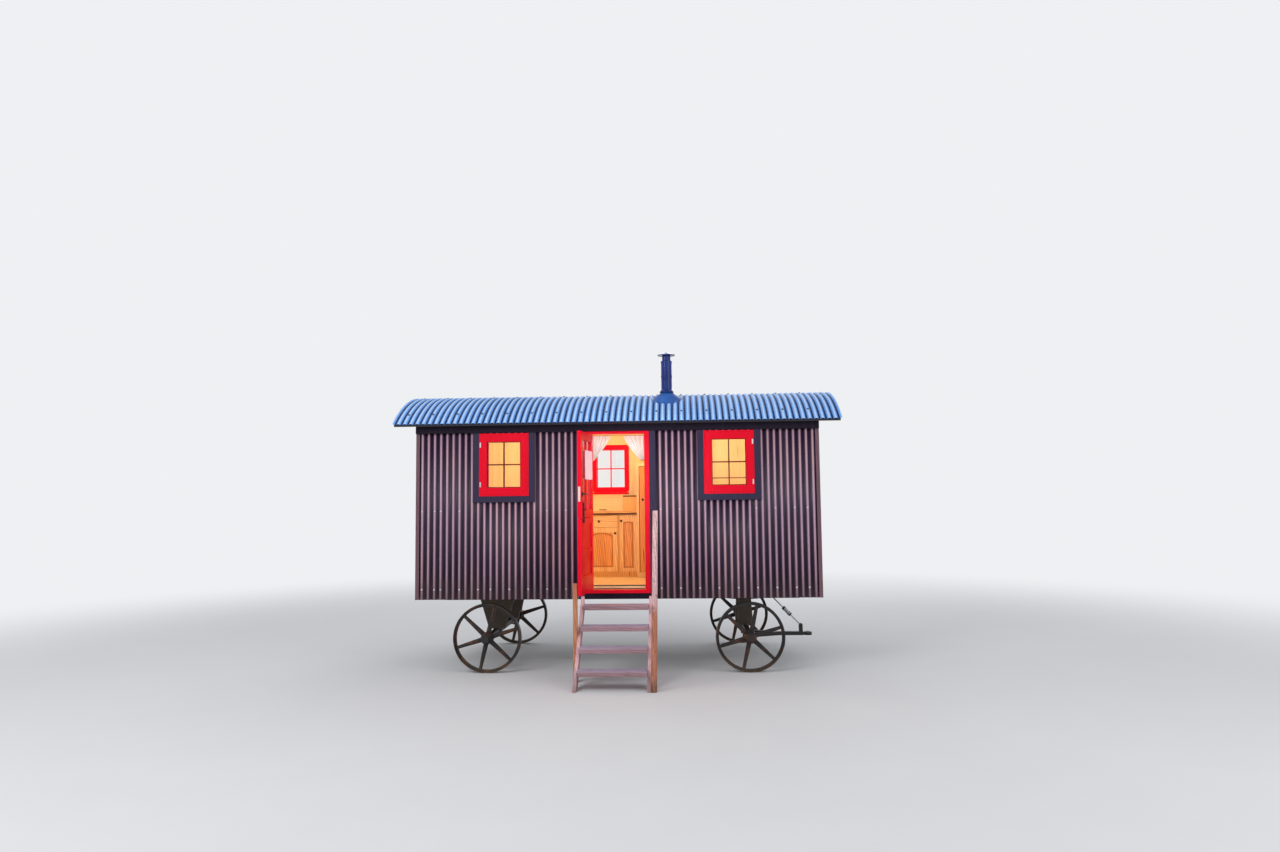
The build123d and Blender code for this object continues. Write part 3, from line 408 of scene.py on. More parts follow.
pine_pale = ((0.90, 0.69, 0.38), (0.80, 0.53, 0.22))
pine_warm = ((0.90, 0.56, 0.20), (0.72, 0.34, 0.085))
pine_frame = ((1.00, 0.74, 0.35), (0.64, 0.27, 0.060))
pine_deep = ((0.86, 0.42, 0.110), (0.48, 0.14, 0.024))
panel_relief = 0.006


def tinted_boards():
    """Each board has a tint of its own, kept with the mesh."""
    made = Pine("pine_matchboard", along_z, pine_pale)
    tint = made.out("ShaderNodeAttribute", which="Fac", attribute_name="board_tint")
    made.over(tint * 0.35, (0.66, 0.34, 0.10))
    return made.varnished()


def pine_front(name, stretch, tones, face_y, field=None):
    """Cupboard front: a redder field (low x, high x, low z, high z) in its frame, painted shade in the sunk
    border, dark knob and hinge knuckles."""
    made = Pine(name, stretch, tones, 0.9)
    x, y, z = made.split(made.place)
    if field is not None:
        in_x, in_z = [made.math("COMPARE", value, (low + high) / 2, (high - low) / 2)
                      for value, low, high in ((x, *field[:2]), (z, *field[2:]))]
        made.over(in_x * in_z, made.mix(made.wood["Figure"], (0.96, 0.50, 0.160), (0.43, 0.105, 0.016)))
    # Painted shade in the sunk border round the field
    made.over(made.math("COMPARE", y, face_y + panel_relief, 0.0008) * 0.6, (0.36, 0.105, 0.02))
    made.over(made.math("LESS_THAN", y, face_y - 0.0005), (0.030, 0.014, 0.008))
    return made.varnished()


def deck_boards():
    """Roof deck: pine boards seen from inside, dark paint on its edges outside the walls."""
    made = Pine("deck_boards", along_x, pine_pale)
    x, y, z = made.split(made.place)
    off_middle = y - mid_y
    along_arch = made.math("ARCTAN2", off_middle, z - arch_z) * deck_inner / board_width
    joint = made.remap(made.math("PINGPONG", along_arch, 0.5), 0.0, 0.03, 1.0, 0.0)
    made.over(joint * 0.8, (0.22, 0.09, 0.025))
    past_side = made.math("GREATER_THAN", made.math("ABSOLUTE", off_middle), 1.12)
    past_end = made.math("GREATER_THAN", made.math("ABSOLUTE", x), end_x - 0.03)
    made.over(made.math("MAXIMUM", past_side, past_end), (0.020, 0.016, 0.026))
    return made.varnished()


def floor_pine():
    made = Finish("floor_pine", Coat_Weight=0.12, Coat_Roughness=0.35)
    grain = made.grain(along_x, (0.86, 0.66, 0.38), (0.70, 0.48, 0.22), 0.5)
    x, y, z = made.split(made.place)
    across = y / floor_board_width
    gap = made.remap(made.math("PINGPONG", across, 0.5), 0.0, 0.018, 1.0, 0.0)
    made.over(made.own_tint(across) * 0.30, (0.66, 0.43, 0.19))
    made.over(gap, (0.09, 0.045, 0.02))
    made.over(made.math("LESS_THAN", z, floor_top - 0.085), (0.060, 0.044, 0.036))
    return made.lay((grain["Figure"], 0.40, 0.58), grain["Height"] - gap * 2.0, 0.25, 0.0015)


def dark_paint(name, stretch, light, dark):
    made = Finish(name, Specular_IOR_Level=0.10)
    grain = made.grain(stretch, light, dark)
    marks = made.marks(2.2)
    made.over(marks["Streaks"] * 0.12, (0.07, 0.06, 0.09))
    made.over(marks["Specks"] * 0.5, (0.02, 0.018, 0.02))
    return made.lay((marks["Blotch"], 0.60, 0.76), grain["Height"], 0.30, 0.0016)


def rusty_iron(name, cover, paint, soil=0.55):
    made = Finish(name, Specular_IOR_Level=0.4)
    bloom = made.group(rust_bloom, {"Vector": made.place, "Cover": cover, "Paint": paint})
    made.tone = bloom["Color"]
    made.over(made.splash(0.0, 0.22) * soil, (0.13, 0.095, 0.065))
    made.join(made.remap(bloom["Rust"], 0.0, 1.0, 0.35, 0.0), made.shader.inputs["Metallic"])
    return made.lay((bloom["Rust"], 0.42, 0.86), bloom["Height"], 0.35, 0.0015)


def blue_metal(name, specular, scale, tones, streak, gloss, grit, strength, distance):
    made = Finish(name, Specular_IOR_Level=specular)
    marks = made.marks(scale)
    made.tone = made.mix(marks["Blotch"], *tones)
    made.over(marks["Streaks"] * 0.30, streak)
    return made.lay((marks["Blotch"], *gloss), made.noise(made.place, *grit), strength, distance)


def bare_timber(name, stretch, light, dark, knots=0.6, painted_top_light=None):
    """Unpainted wood with cracks; its upward faces get painted sky light where a tone for it is given."""
    made = Finish(name, Specular_IOR_Level=0.3)
    grain = made.grain(stretch, light, dark, knots)
    crack = made.remap(made.noise(made.times(made.place, stretch), 11.0, 5.0, 0.75), 0.30, 0.37, 0.75, 0.0)
    # Painted sky light: upward faces turn lighter and bluer
    if painted_top_light is not None:
        facing = made.split(made.out("ShaderNodeTexCoord", which="Normal"))[2]
        upward = made.remap(facing, 0.35, 0.85, 0.0, 0.85)
        made.over(upward * made.remap(grain["Figure"], 0.0, 1.0, 1.0, 0.6), painted_top_light)
    made.over(crack, (0.055, 0.040, 0.032))
    made.over(made.marks(4.0)["Blotch"] * 0.22, (0.17, 0.15, 0.10))
    made.over(made.splash(0.0, 0.25) * 0.6, (0.10, 0.070, 0.045))
    return made.lay((grain["Figure"], 0.66, 0.88), grain["Height"] - crack, 0.55, 0.003)


def pole_bark():
    """Peeled pole: silvery where it dries above the sill, ruddy below."""
    made = Finish("pole_bark", Specular_IOR_Level=0.35)
    grey = made.grain(along_z, (0.86, 0.56, 0.56), (0.47, 0.27, 0.28), 0.5)
    made.grain(along_z, (0.62, 0.25, 0.145), (0.27, 0.095, 0.055), 0.7)
    wander = made.noise(made.place, 11.0, 4.0) * 0.3 + made.split(made.place)[2]
    made.over(made.remap(wander, 0.96, 1.14), grey["Color"])
    flakes = made.remap(made.noise(made.times(made.place, (1.0, 1.0, 0.4)), 60.0, 4.0, 0.7), 0.54, 0.62)
    made.over(flakes * 0.55, (0.10, 0.060, 0.050))
    made.over(made.splash(0.0, 0.2) * 0.6, (0.08, 0.055, 0.035))
    return made.lay((flakes, 0.55, 0.85), grey["Height"] - flakes, 0.5, 0.003)


def brushed_steel(name, base, gloss):
    made = Finish(name, Metallic=0.9)
    made.tone = base
    made.over(made.marks(9.0)["Blotch"] * 0.35, (0.30, 0.28, 0.26))
    brush = made.noise(made.times(made.place, (40.0, 40.0, 700.0)), 1.0, 3.0)
    return made.lay((made.remap(brush, 0.3, 0.7), gloss, gloss + 0.16), brush, 0.1, 0.0003)


def door_fittings():
    """Dark levers and roses, and a bright plate on the leaf's free edge."""
    made = Finish("door_fittings", Metallic=0.85)
    x, y, z = made.split(made.place)
    reach = (x - pin.x) * math.cos(open_angle) - (y - pin.y) * math.sin(open_angle)
    wear = made.noise(made.place, 55.0, 4.0)
    made.tone = made.mix(wear, (0.020, 0.020, 0.022), (0.075, 0.070, 0.070))
    bright = made.mix(wear, (0.62, 0.58, 0.56), (0.86, 0.83, 0.82))
    made.over(made.remap(reach, leaf_end - 0.0004, leaf_end), bright)
    return made.lay((made.remap(wear, 0.2, 0.8), 0.26, 0.44), wear, 0.08, 0.0004)


def lace_net(name, thread):
    """Lace with small open holes, and denser sprigs spread over it."""
    made = Finish(name, Sheen_Weight=0.25, Specular_IOR_Level=0.2)
    flat = made.out("ShaderNodeTexCoord", which="UV")
    holes, sprigs = [
        made.out("ShaderNodeTexVoronoi", {"Vector": flat, "Scale": scale, "Randomness": chance}, "Distance")
        for scale, chance in ((150.0, 0.25), (22.0, 0.35))]
    petals = made.remap(made.math("SINE", sprigs * 38.0), -0.3, 0.3)
    dense = made.remap(sprigs, 0.34, 0.42, 1.0, 0.0) * petals
    cover = made.math("MAXIMUM", made.remap(holes, 0.22, 0.42), dense)
    made.join(made.remap(cover, 0.0, 1.0, 0.76, 1.0), made.shader.inputs["Alpha"])
    made.tone = thread
    made.over(made.noise(flat, 14.0, 3.0) * 0.4, (0.90, 0.84, 0.80))
    return made.lay((cover, 0.75, 0.92), cover, 0.3, 0.0006)


def worktop_oil():
    """Oiled wood, with painted shade on its lip below the top."""
    made = Finish("worktop_oil", Coat_Weight=0.2, Coat_Roughness=0.25)
    grain = made.grain(along_x, (0.80, 0.47, 0.17), (0.60, 0.28, 0.07), 0.3)
    # Painted shade on the lip below the top
    made.over(made.math("LESS_THAN", made.split(made.place)[2], worktop_lip_top), (0.10, 0.034, 0.012))
    return made.lay((grain["Figure"], 0.34, 0.5), grain["Height"], 0.2, 0.001)


def pane_glass():
    """Thin clear pane, a little uneven as old glass is."""
    made = Finish("pane_glass", Metallic=0.0, IOR=1.45, Transmission_Weight=1.0)
    film = made.noise(made.place, 26.0, 5.0, 0.7)
    made.tone = made.mix(film, (0.93, 0.96, 0.94), (0.99, 1.0, 0.99))
    return made.lay((made.remap(film, 0.55, 0.85), 0.01, 0.08), made.noise(made.place, 3.5, 2.0), 0.05, 0.003)


plum = plum_coat()
roof_blue = roof_coat()
red_upright = red_gloss("red_gloss_upright", along_z)
red_level = red_gloss("red_gloss_level", along_x)
# Dark brown: own colour of the box lid and the window rail, and painted shade on the front windows' bars and
# round the tall cupboard's door
bar_brown = bare_timber("bar_brown", along_x, (0.17, 0.035, 0.014), (0.085, 0.016, 0.008), 0.0)
pine_upright = Pine("pine_upright", along_z, pine_pale).varnished()
pine_level = Pine("pine_level", along_x, pine_pale).varnished()
cupboard_pine = Pine("cupboard_pine", along_z, pine_warm).varnished()
pine_matchboard = tinted_boards()
board_level = dark_paint("dark_board_level", along_x, (0.018, 0.012, 0.024), (0.009, 0.006, 0.014))
wheel_iron = rusty_iron("wheel_iron", 0.55, (0.030, 0.026, 0.026))
frame_iron = rusty_iron("frame_iron", 0.35, (0.028, 0.027, 0.028))
hinge_iron = rusty_iron("hinge_iron", 0.10, (0.030, 0.028, 0.028), 0.0)
flue_black = blue_metal("flue_paint", 0.28, 4.0, ((0.004, 0.016, 0.135), (0.010, 0.030, 0.190)),
                        (0.040, 0.065, 0.220), (0.13, 0.24), (180.0, 2.0), 0.12, 0.0006)
flashing_grey = blue_metal("lead_grey", 0.25, 5.0, ((0.014, 0.080, 0.310), (0.028, 0.120, 0.420)),
                           (0.12, 0.20, 0.42), (0.28, 0.46), (70.0, 4.0), 0.25, 0.002)
axle_dark = bare_timber("axle_dark", along_y, (0.12, 0.090, 0.070), (0.045, 0.034, 0.028), 0.2)
steel_bright = brushed_steel("steel_bright", (0.74, 0.72, 0.70), 0.26)
steel_dull = brushed_steel("steel_dull", (0.30, 0.31, 0.33), 0.38)
brass = brushed_steel("brass", (0.60, 0.42, 0.16), 0.28)
lace_white = lace_net("lace_white", (0.98, 0.97, 0.95))
lace_pink = lace_net("lace_pink", (0.96, 0.56, 0.61))

node_finishes = (
    (dark_paint("corner_plum", along_z, (0.200, 0.115, 0.135), (0.120, 0.062, 0.080)), "corner_angles"),
    (deck_boards(), "roof_deck"),
    (pine_upright, "back_wall front_wall_left front_wall_right end_walls tall_cupboard"),
    (pine_level, "front_wall_over_door"),
    (floor_pine(), "floor"),
    (board_level, "fascia_boards door_skirt_board"),
    (dark_paint("dark_board_upright", along_z, (0.050, 0.040, 0.080), (0.028, 0.024, 0.052)),
     "front_trim_boards"),
    (red_upright, "front_window_frames back_window_frame door_jambs door_leaf_lower door_leaf_upper"),
    (red_level, "door_head door_sill"),
    (pane_glass(), "window_glass door_glass"),
    (door_fittings(), "door_handles"),
    (hinge_iron, "door_hinges jamb_hinges"),
    (wheel_iron, "wheel_front_near wheel_front_far wheel_rear_near wheel_rear_far"),
    (frame_iron, "rear_axle front_axle turntable_fixed_plate turntable_turning_plate drawbar towing_eye"),
    (steel_dull, "drawbar_stay"),
    (axle_dark, "rear_axle_posts fore_axle_posts chassis_cross_members"),
    (bare_timber("chassis_dark", along_x, (0.13, 0.095, 0.075), (0.050, 0.036, 0.030), 0.2),
     "chassis_bearers"),
    (bare_timber("step_grey_sloped", (7.0, 1.2, 1.0), (0.93, 0.58, 0.62), (0.60, 0.32, 0.36)),
     "step_stringers"),
    (bare_timber("step_grey_level", along_x, (0.48, 0.29, 0.34), (0.27, 0.155, 0.175),
                 painted_top_light=(0.52, 0.46, 0.64)), "step_treads"),
    (pole_bark(), "step_hand_pole"),
    (bare_timber("post_brown", along_z, (0.76, 0.32, 0.16), (0.45, 0.155, 0.075)), "step_side_post"),
    (flue_black, "flue_pipe flue_cap"),
    (flashing_grey, "flue_flashing"),
    (cupboard_pine, "base_cupboard"),
    (worktop_oil(), "worktop"),
    (pine_front("left_front_pine", along_z, pine_frame, cupboard_face, (-0.473, -0.162, 1.126, 1.598)),
     "cupboard_door_left"),
    (pine_front("right_front_pine", along_z, pine_frame, cupboard_face, (-0.020, 0.120, 1.114, 1.745)),
     "cupboard_door_right"),
    (pine_front("tall_front_pine", along_z, pine_deep, tall_cupboard_face), "tall_cupboard_door"),
    (pine_front("drawer_front_pine", along_x, pine_frame, cupboard_face), "cupboard_drawer"),
)


def dress(thing, material):
    thing.data.materials.clear()
    thing.data.materials.append(material)


for finish, names in node_finishes:
    for node_name in names.split():
        dress(nodes[node_name], finish)

# Rounded arrises on the sawn and planed timber
eased_timber = (
    (0.005, "step_treads step_stringers step_side_post"),
    (0.003, "fascia_boards front_trim_boards door_skirt_board worktop chassis_bearers chassis_cross_members"),
)
for width, names in eased_timber:
    for node_name in names.split():
        weld = nodes[node_name].modifiers.new("weld", "WELD")
        weld.merge_threshold = 0.00002
        bevel = nodes[node_name].modifiers.new("arris", "BEVEL")
        bevel.width = width
        bevel.segments = 2
        bevel.limit_method = "ANGLE"
        bevel.angle_limit = math.radians(50)


# Geometry trees for what repeats or follows a rule
def shape_tree(name, inputs):
    return new_tree(name, {**inputs, "Material": "Material"}, {"Geometry": "Geometry"}, "GeometryNodeTree")


def close_tree(made, given, shape, smooth):
    if smooth:
        shape = made.put("GeometryNodeSetShadeSmooth", {0: shape})
    real = made.put("GeometryNodeRealizeInstances", {0: shape})
    inputs = {"Geometry": real, "Material": given["Material"]}
    return made.give(Geometry=made.put("GeometryNodeSetMaterial", inputs))


def unit_grid(made, columns, rows):
    """A unit grid with the given columns and rows, and how far along and up each point is."""
    inputs = {"Size X": 1.0, "Size Y": 1.0, "Vertices X": columns, "Vertices Y": rows}
    grid = made.put("GeometryNodeMeshGrid", inputs)
    x, y, z = made.split(made.put("GeometryNodeInputPosition"))
    return grid, x + 0.5, y + 0.5


def placed(made, shape, *place):
    return made.put("GeometryNodeSetPosition", {"Geometry": shape, "Position": made.vector(*place)})


def ridge_dip(made, given, run):
    """How far the sheet lies behind its ridges at this run from one of them."""
    wave = made.math("COSINE", run / given["Pitch"] * (2 * math.pi))
    return (1.0 - wave) * (given["Depth"] * 0.5)


def height_under_arch(made, given, x, up):
    """Height of a point that is a share of the way up to a level top or an arch, whichever is lower."""
    arch = made.math("SQRT", given["Arch Radius"] ** 2.0 - x**2.0) + given["Arch Centre"]
    top = made.math("MINIMUM", given["Top"], arch)
    return up * (top - given["Bottom"]) + given["Bottom"]


upright_inputs = floats("Start", "End", "Bottom", "Top", "Depth", "Arch Radius", "Arch Centre")


def ridged_sheet_tree():
    """Wall sheet with upright ridges; its upper edge is level or follows an arch."""
    inputs = {**upright_inputs, **floats("First Ridge", "Pitch"), "Columns": "Int"}
    made, given = shape_tree("ridged_sheet", inputs)
    grid, along, up = unit_grid(made, given["Columns"], 2)
    x = along * (given["End"] - given["Start"]) + given["Start"]
    dip = ridge_dip(made, given, x - given["First Ridge"])
    shape = placed(made, grid, x, dip, height_under_arch(made, given, x, up))
    return close_tree(made, given, shape, True)


def bent_roof_tree():
    """Roof sheet with its ridges bent over the arch from eave to eave, open where the flue goes through."""
    lengths = floats("Half Length", "Half Angle", "Radius", "Pitch", "Depth", "Flue X", "Flue Y", "Hole")
    made, given = shape_tree("bent_roof", {**lengths, "Columns": "Int", "Rows": "Int"})
    grid, along, up = unit_grid(made, given["Columns"], given["Rows"])
    run = along * (given["Half Length"] * 2.0)
    reach = given["Radius"] - ridge_dip(made, given, run)
    angle = (up * 2.0 - 1.0) * given["Half Angle"]
    bent = placed(made, grid, run - given["Half Length"], reach * made.math("SINE", angle),
                  reach * made.math("COSINE", angle))
    x, y, z = made.split(made.put("GeometryNodeInputPosition"))
    off_flue = made.math("SQRT", (x - given["Flue X"]) ** 2.0 + (y - given["Flue Y"]) ** 2.0)
    near = made.math("LESS_THAN", off_flue, given["Hole"])
    shape = made.put("GeometryNodeDeleteGeometry", {"Geometry": bent, "Selection": near}, domain="FACE")
    return close_tree(made, given, shape, True)


def matchboard_tree():
    """Upright boards with a small groove at each joint, and a tint of its own for each board."""
    inputs = {**upright_inputs, **floats("Width", "Groove"), "Boards": "Int", "Seed": "Int"}
    made, given = shape_tree("matchboard", inputs)
    columns = given["Boards"] * 3.0 + 1.0
    grid, along, up = unit_grid(made, columns, 2)
    column = made.math("ROUND", along * (columns - 1.0))
    board = made.math("FLOOR", (column + 0.01) / 3.0)
    step = column - board * 3.0
    past_groove = made.math("GREATER_THAN", step, 0.5) * given["Groove"]
    past_face = made.math("GREATER_THAN", step, 1.5) * (given["Width"] - given["Groove"] * 2.0)
    x = board * given["Width"] + given["Start"] + (past_face + past_groove)
    x = made.math("MINIMUM", x, given["End"])
    dip = made.math("LESS_THAN", step, 0.5) * given["Depth"]
    shape = placed(made, grid, x, dip, height_under_arch(made, given, x, up))
    tint = made.out("FunctionNodeRandomValue", {"ID": board, "Seed": given["Seed"]}, 1, data_type="FLOAT")
    inputs = {"Geometry": shape, "Name": "board_tint", "Value": tint}
    stored = made.put("GeometryNodeStoreNamedAttribute", inputs, data_type="FLOAT")
    return close_tree(made, given, stored, False)


def screw_row_tree():
    """A row of hexagon-headed screws, each on a domed washer."""
    inputs = {"Count": "Int", "Start": "Vector", "Step": "Vector", "Turn": "Vector",
              **floats("Washer", "Head")}
    made, given = shape_tree("screw_row", inputs)
    washer = given["Washer"]
    head = given["Head"]
    inputs = {"Count": given["Count"], "Start Location": given["Start"], "Offset": given["Step"]}
    line = made.put("GeometryNodeMeshLine", inputs, mode="OFFSET")
    inputs = {"Vertices": 12, "Radius Top": washer * 0.62, "Radius Bottom": washer, "Depth": washer * 0.28}
    dome = made.put("GeometryNodeMeshCone", inputs)
    hexagon = made.put("GeometryNodeMeshCylinder", {"Vertices": 6, "Radius": head, "Depth": head})
    lift = made.vector(0.0, 0.0, head * 0.75)
    raised = made.put("GeometryNodeTransform", {"Geometry": hexagon, "Translation": lift})
    screw = made.put("GeometryNodeJoinGeometry", {0: dome})
    made.join(raised, screw.inputs[0])
    inputs = {"Points": line, "Instance": screw, "Rotation": given["Turn"]}
    return close_tree(made, given, made.put("GeometryNodeInstanceOnPoints", inputs), False)


ridged_sheet = ridged_sheet_tree()
bent_roof = bent_roof_tree()
matchboard = matchboard_tree()
screw_row = screw_row_tree()


def grown(tree, material, settings, place=here):
    """Runs a geometry tree once and gives its result as a plain mesh, moved to its place."""
    holder = bpy.data.objects.new("growing", bpy.data.meshes.new("growing"))
    modifier = holder.modifiers.new("grow", "NODES")
    modifier.node_group = tree
    values = {**settings, "Material": material}
    for item in tree.interface.items_tree:
        if item.item_type == "SOCKET" and item.in_out == "INPUT" and item.name in values:
            modifier[item.identifier] = values[item.name]
    scene.collection.objects.link(holder)
    ready = holder.evaluated_get(bpy.context.evaluated_depsgraph_get())
    mesh = bpy.data.meshes.new_from_object(ready)
    bpy.data.objects.remove(holder)
    mesh.transform(place)
    return mesh


def piece(name, mesh, body, material=None):
    """A piece on a body, from one mesh or from a list of them."""
    if isinstance(mesh, list):
        mesh = joined(name, mesh)
    thing = bpy.data.objects.new(name, mesh)
    scene.collection.objects.link(thing)
    if material is not None:
        dress(thing, material)
    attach(thing, body)
    return thing


def as_mesh(name, whole):
    mesh = bpy.data.meshes.new(name)
    whole.to_mesh(mesh)
    whole.free()
    return mesh


def joined(name, parts):
    """One mesh from several."""
    whole = bmesh.new()
    for mesh in parts:
        whole.from_mesh(mesh)
    made = as_mesh(name, whole)
    for material in parts[0].materials:
        made.materials.append(material)
    return made


def thicken(thing, thickness):
    solid = thing.modifiers.new("thickness", "SOLIDIFY")
    solid.thickness = thickness
    solid.offset = -1.0
    solid.use_even_offset = True


def skin(name, parts, thickness):
    thing = piece(name, parts, "hut")
    thicken(thing, thickness)
    return thing


# Each wall is drawn in its own frame: x to the right seen from outside, y into the hut, z up
front_side = Matrix.Translation((0.0, front_y, 0.0))
back_side = turned((0.0, back_y, 0.0), math.pi)
right_side = turned((end_x, mid_y, 0.0), quarter)
left_side = turned((-end_x, mid_y, 0.0), -quarter)
no_arch = 50.0
over_arch = 5.0
waves_across = 8
window_low = window_z - rough_size[1] / 2
window_high = window_z + rough_size[1] / 2
roof_half_length = roof_end - sheet_gauge
roof_ridges = round(2 * roof_end / sheet_pitch)
roof_pitch = 2 * roof_half_length / roof_ridges


def patches_round(start, end, bottom, top, hole):
    """The rectangles that are left of a wall round its hole (centre, width, low, high)."""
    centre, width, low, high = hole
    left = centre - width / 2
    right = centre + width / 2
    found = [(start, left, bottom, top), (left, right, bottom, low)]
    if high < top:
        found.append((left, right, high, top))
    return [*found, (right, end, bottom, top)]


def ridged(place, start, end, bottom, top, first=-end_x, radius=no_arch):
    settings = {
        "Start": start, "End": end, "Bottom": bottom, "Top": top, "First Ridge": first, "Pitch": sheet_pitch,
        "Depth": wave_depth, "Arch Radius": radius, "Arch Centre": arch_z,
        "Columns": 1 + max(2, round((end - start) / sheet_pitch * waves_across)),
    }
    return grown(ridged_sheet, plum, settings, place)


def wall_sheets():
    patches = []
    for start, end, centre in ((-end_x, frame_left, -window_x), (frame_right, end_x, window_x)):
        hole = (centre, rough_size[0], window_low, window_high)
        patches += patches_round(start, end, wall_bottom, sheet_top, hole)
    parts = [ridged(front_side, *patch) for patch in patches]
    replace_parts(skin("front_corrugated_sheets", parts, sheet_gauge), "front_sheets")
    hole = (-back_window_x, rough_size[0], window_low, window_high)
    patches = patches_round(-end_x, end_x, wall_bottom, sheet_top, hole)
    parts = [ridged(back_side, *patch) for patch in patches]
    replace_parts(skin("back_corrugated_sheets", parts, sheet_gauge), "back_sheets")
    half = (back_y - front_y) / 2 - sheet_depth
    parts = [ridged(side, -half, half, wall_bottom, over_arch, -half, deck_inner)
             for side in (left_side, right_side)]
    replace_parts(skin("end_corrugated_sheets", parts, sheet_gauge), "end_sheets")


def roof_sheet():
    settings = {
        "Half Length": roof_half_length, "Half Angle": roof_half_angle, "Radius": roof_radius,
        "Pitch": roof_pitch, "Depth": wave_depth, "Flue X": flue_x, "Flue Y": flue_y - mid_y,
        "Hole": flue_radius + 0.015, "Columns": roof_ridges * waves_across + 1, "Rows": 25,
    }
    mesh = grown(bent_roof, roof_blue, settings, Matrix.Translation((0.0, mid_y, arch_z)))
    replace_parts(skin("roof_corrugated_sheet", [mesh], sheet_gauge), "roof_sheets")


wall_sheets()
roof_sheet()


# Screws that hold the sheets
def screw_line(count, start, step, turn, washer=0.0105, head=0.0052, material=steel_bright):
    settings = {"Count": count, "Start": Vector(start), "Step": Vector(step), "Turn": Vector(turn),
                "Washer": washer, "Head": head}
    return grown(screw_row, material, settings)


def sheet_screws():
    """Front rows are given as (first ridge, count), so that gaps stay where the photograph has them."""
    every = 3 * sheet_pitch
    parts = []
    low_row = ((1, 4), (3, 1), (12, 5), (39, 8), (62, 1))
    high_row = ((1, 3), (3, 1), (21, 2), (39, 2), (54, 3), (62, 1))
    for height, row in ((1.00, low_row), (1.94, high_row)):
        for ridge, count in row:
            start = (-end_x + ridge * sheet_pitch, front_y, height)
            parts.append(screw_line(count, start, (every, 0, 0), (quarter, 0, 0)))
        parts.append(screw_line(21, (-end_x + sheet_pitch, back_y, height), (every, 0, 0), (-quarter, 0, 0)))
        for side in (-1, 1):
            start = (side * end_x, mid_y - 4 * every, height)
            parts.append(screw_line(9, start, (0, every, 0), (0, side * quarter, 0)))
    piece("wall_sheet_screws", parts, "hut")
    parts = []
    for share in (-0.84, -0.30, 0.30, 0.84):
        angle = share * roof_half_angle
        start = (2 * sheet_pitch - roof_end, mid_y + roof_radius * math.sin(angle),
                 arch_z + roof_radius * math.cos(angle))
        step = (4 * sheet_pitch * 1.0005, 0, 0)
        parts.append(screw_line(17, start, step, (-angle, 0, 0), 0.0150, 0.0075, hinge_iron))
    piece("roof_sheet_screws", parts, "hut")


sheet_screws()

# Pine lining boards inside
lining = 0.009
casing_gap = 0.016


def lined(place, seed, start, end, bottom, top, radius=no_arch):
    settings = {"Start": start, "End": end, "Boards": math.ceil((end - start) / board_width - 1e-6),
                "Width": board_width, "Groove": 0.004, "Depth": 0.004, "Bottom": bottom, "Top": top,
                "Arch Radius": radius, "Arch Centre": arch_z, "Seed": seed}
    return grown(matchboard, pine_matchboard, settings, place)


def numbered(patches, first):
    """Each patch with a number of its own in front, the seed of its tints."""
    return [(first + number, *patch) for number, patch in enumerate(patches)]


def wall_linings():
    """The boards face into the room, so each wall's frame is turned round and set off its core."""
    across = glass_size[0] + 2 * casing_gap
    low = window_z - glass_size[1] / 2 - casing_gap
    high = window_z + glass_size[1] / 2 + casing_gap
    spring = arch_z + math.sqrt(deck_inner**2 - (room_back - mid_y) ** 2)
    thickness = lining - 0.001
    back_in = Matrix.Translation((0.0, room_back - lining, 0.0))
    patches = patches_round(-room_end, room_end, floor_top, spring, (back_window_x, across, low, high))
    skin("back_matchboards", [lined(back_in, *patch) for patch in numbered(patches, 0)], thickness)
    front_in = turned((0.0, room_front + lining, 0.0), math.pi)
    patches = []
    for start, end, centre in ((-room_end, -frame_right, -window_x), (-frame_left, room_end, window_x)):
        patches += patches_round(start, end, floor_top, spring, (centre, across, low, high))
    skin("front_matchboards", [lined(front_in, *patch) for patch in numbered(patches, 20)], thickness)
    half = (room_back - room_front) / 2
    parts = []
    for side in (-1, 1):
        place = turned((side * (room_end - lining), (room_front + room_back) / 2, 0.0), -side * quarter)
        parts.append(lined(place, 40 + side, -half, half, floor_top, over_arch, deck_inner - 0.004))
    skin("end_matchboards", parts, thickness)


wall_linings()


# Joinery that is made of planed bars
def bars(name, blocks, edge, material, place=here, body="hut"):
    """Planed bars with eased edges, each block (corner, opposite corner) in the frame of place."""
    whole = bmesh.new()
    for corners in blocks:
        low, high = (Vector(corner) for corner in zip(*(sorted(pair) for pair in zip(*corners))))
        size = high - low
        made = bmesh.ops.create_cube(whole, size=1.0)["verts"]
        grow = Matrix.Diagonal((*size, 1.0))
        bmesh.ops.transform(whole, matrix=Matrix.Translation((low + high) / 2) @ grow, verts=made)
        edges = list({line for vert in made for line in vert.link_edges})
        ease = min(edge, min(size) * 0.4)
        bmesh.ops.bevel(whole, geom=edges, offset=ease, segments=2, profile=0.5, affect="EDGES")
    bmesh.ops.transform(whole, matrix=place, verts=whole.verts)
    piece(name, as_mesh(name, whole), body, material)


glass_x = glass_size[0] / 2
glass_z = glass_size[1] / 2
sash_x = 0.281
sash_z = 0.359
bar_half = 0.008
bead = 0.009


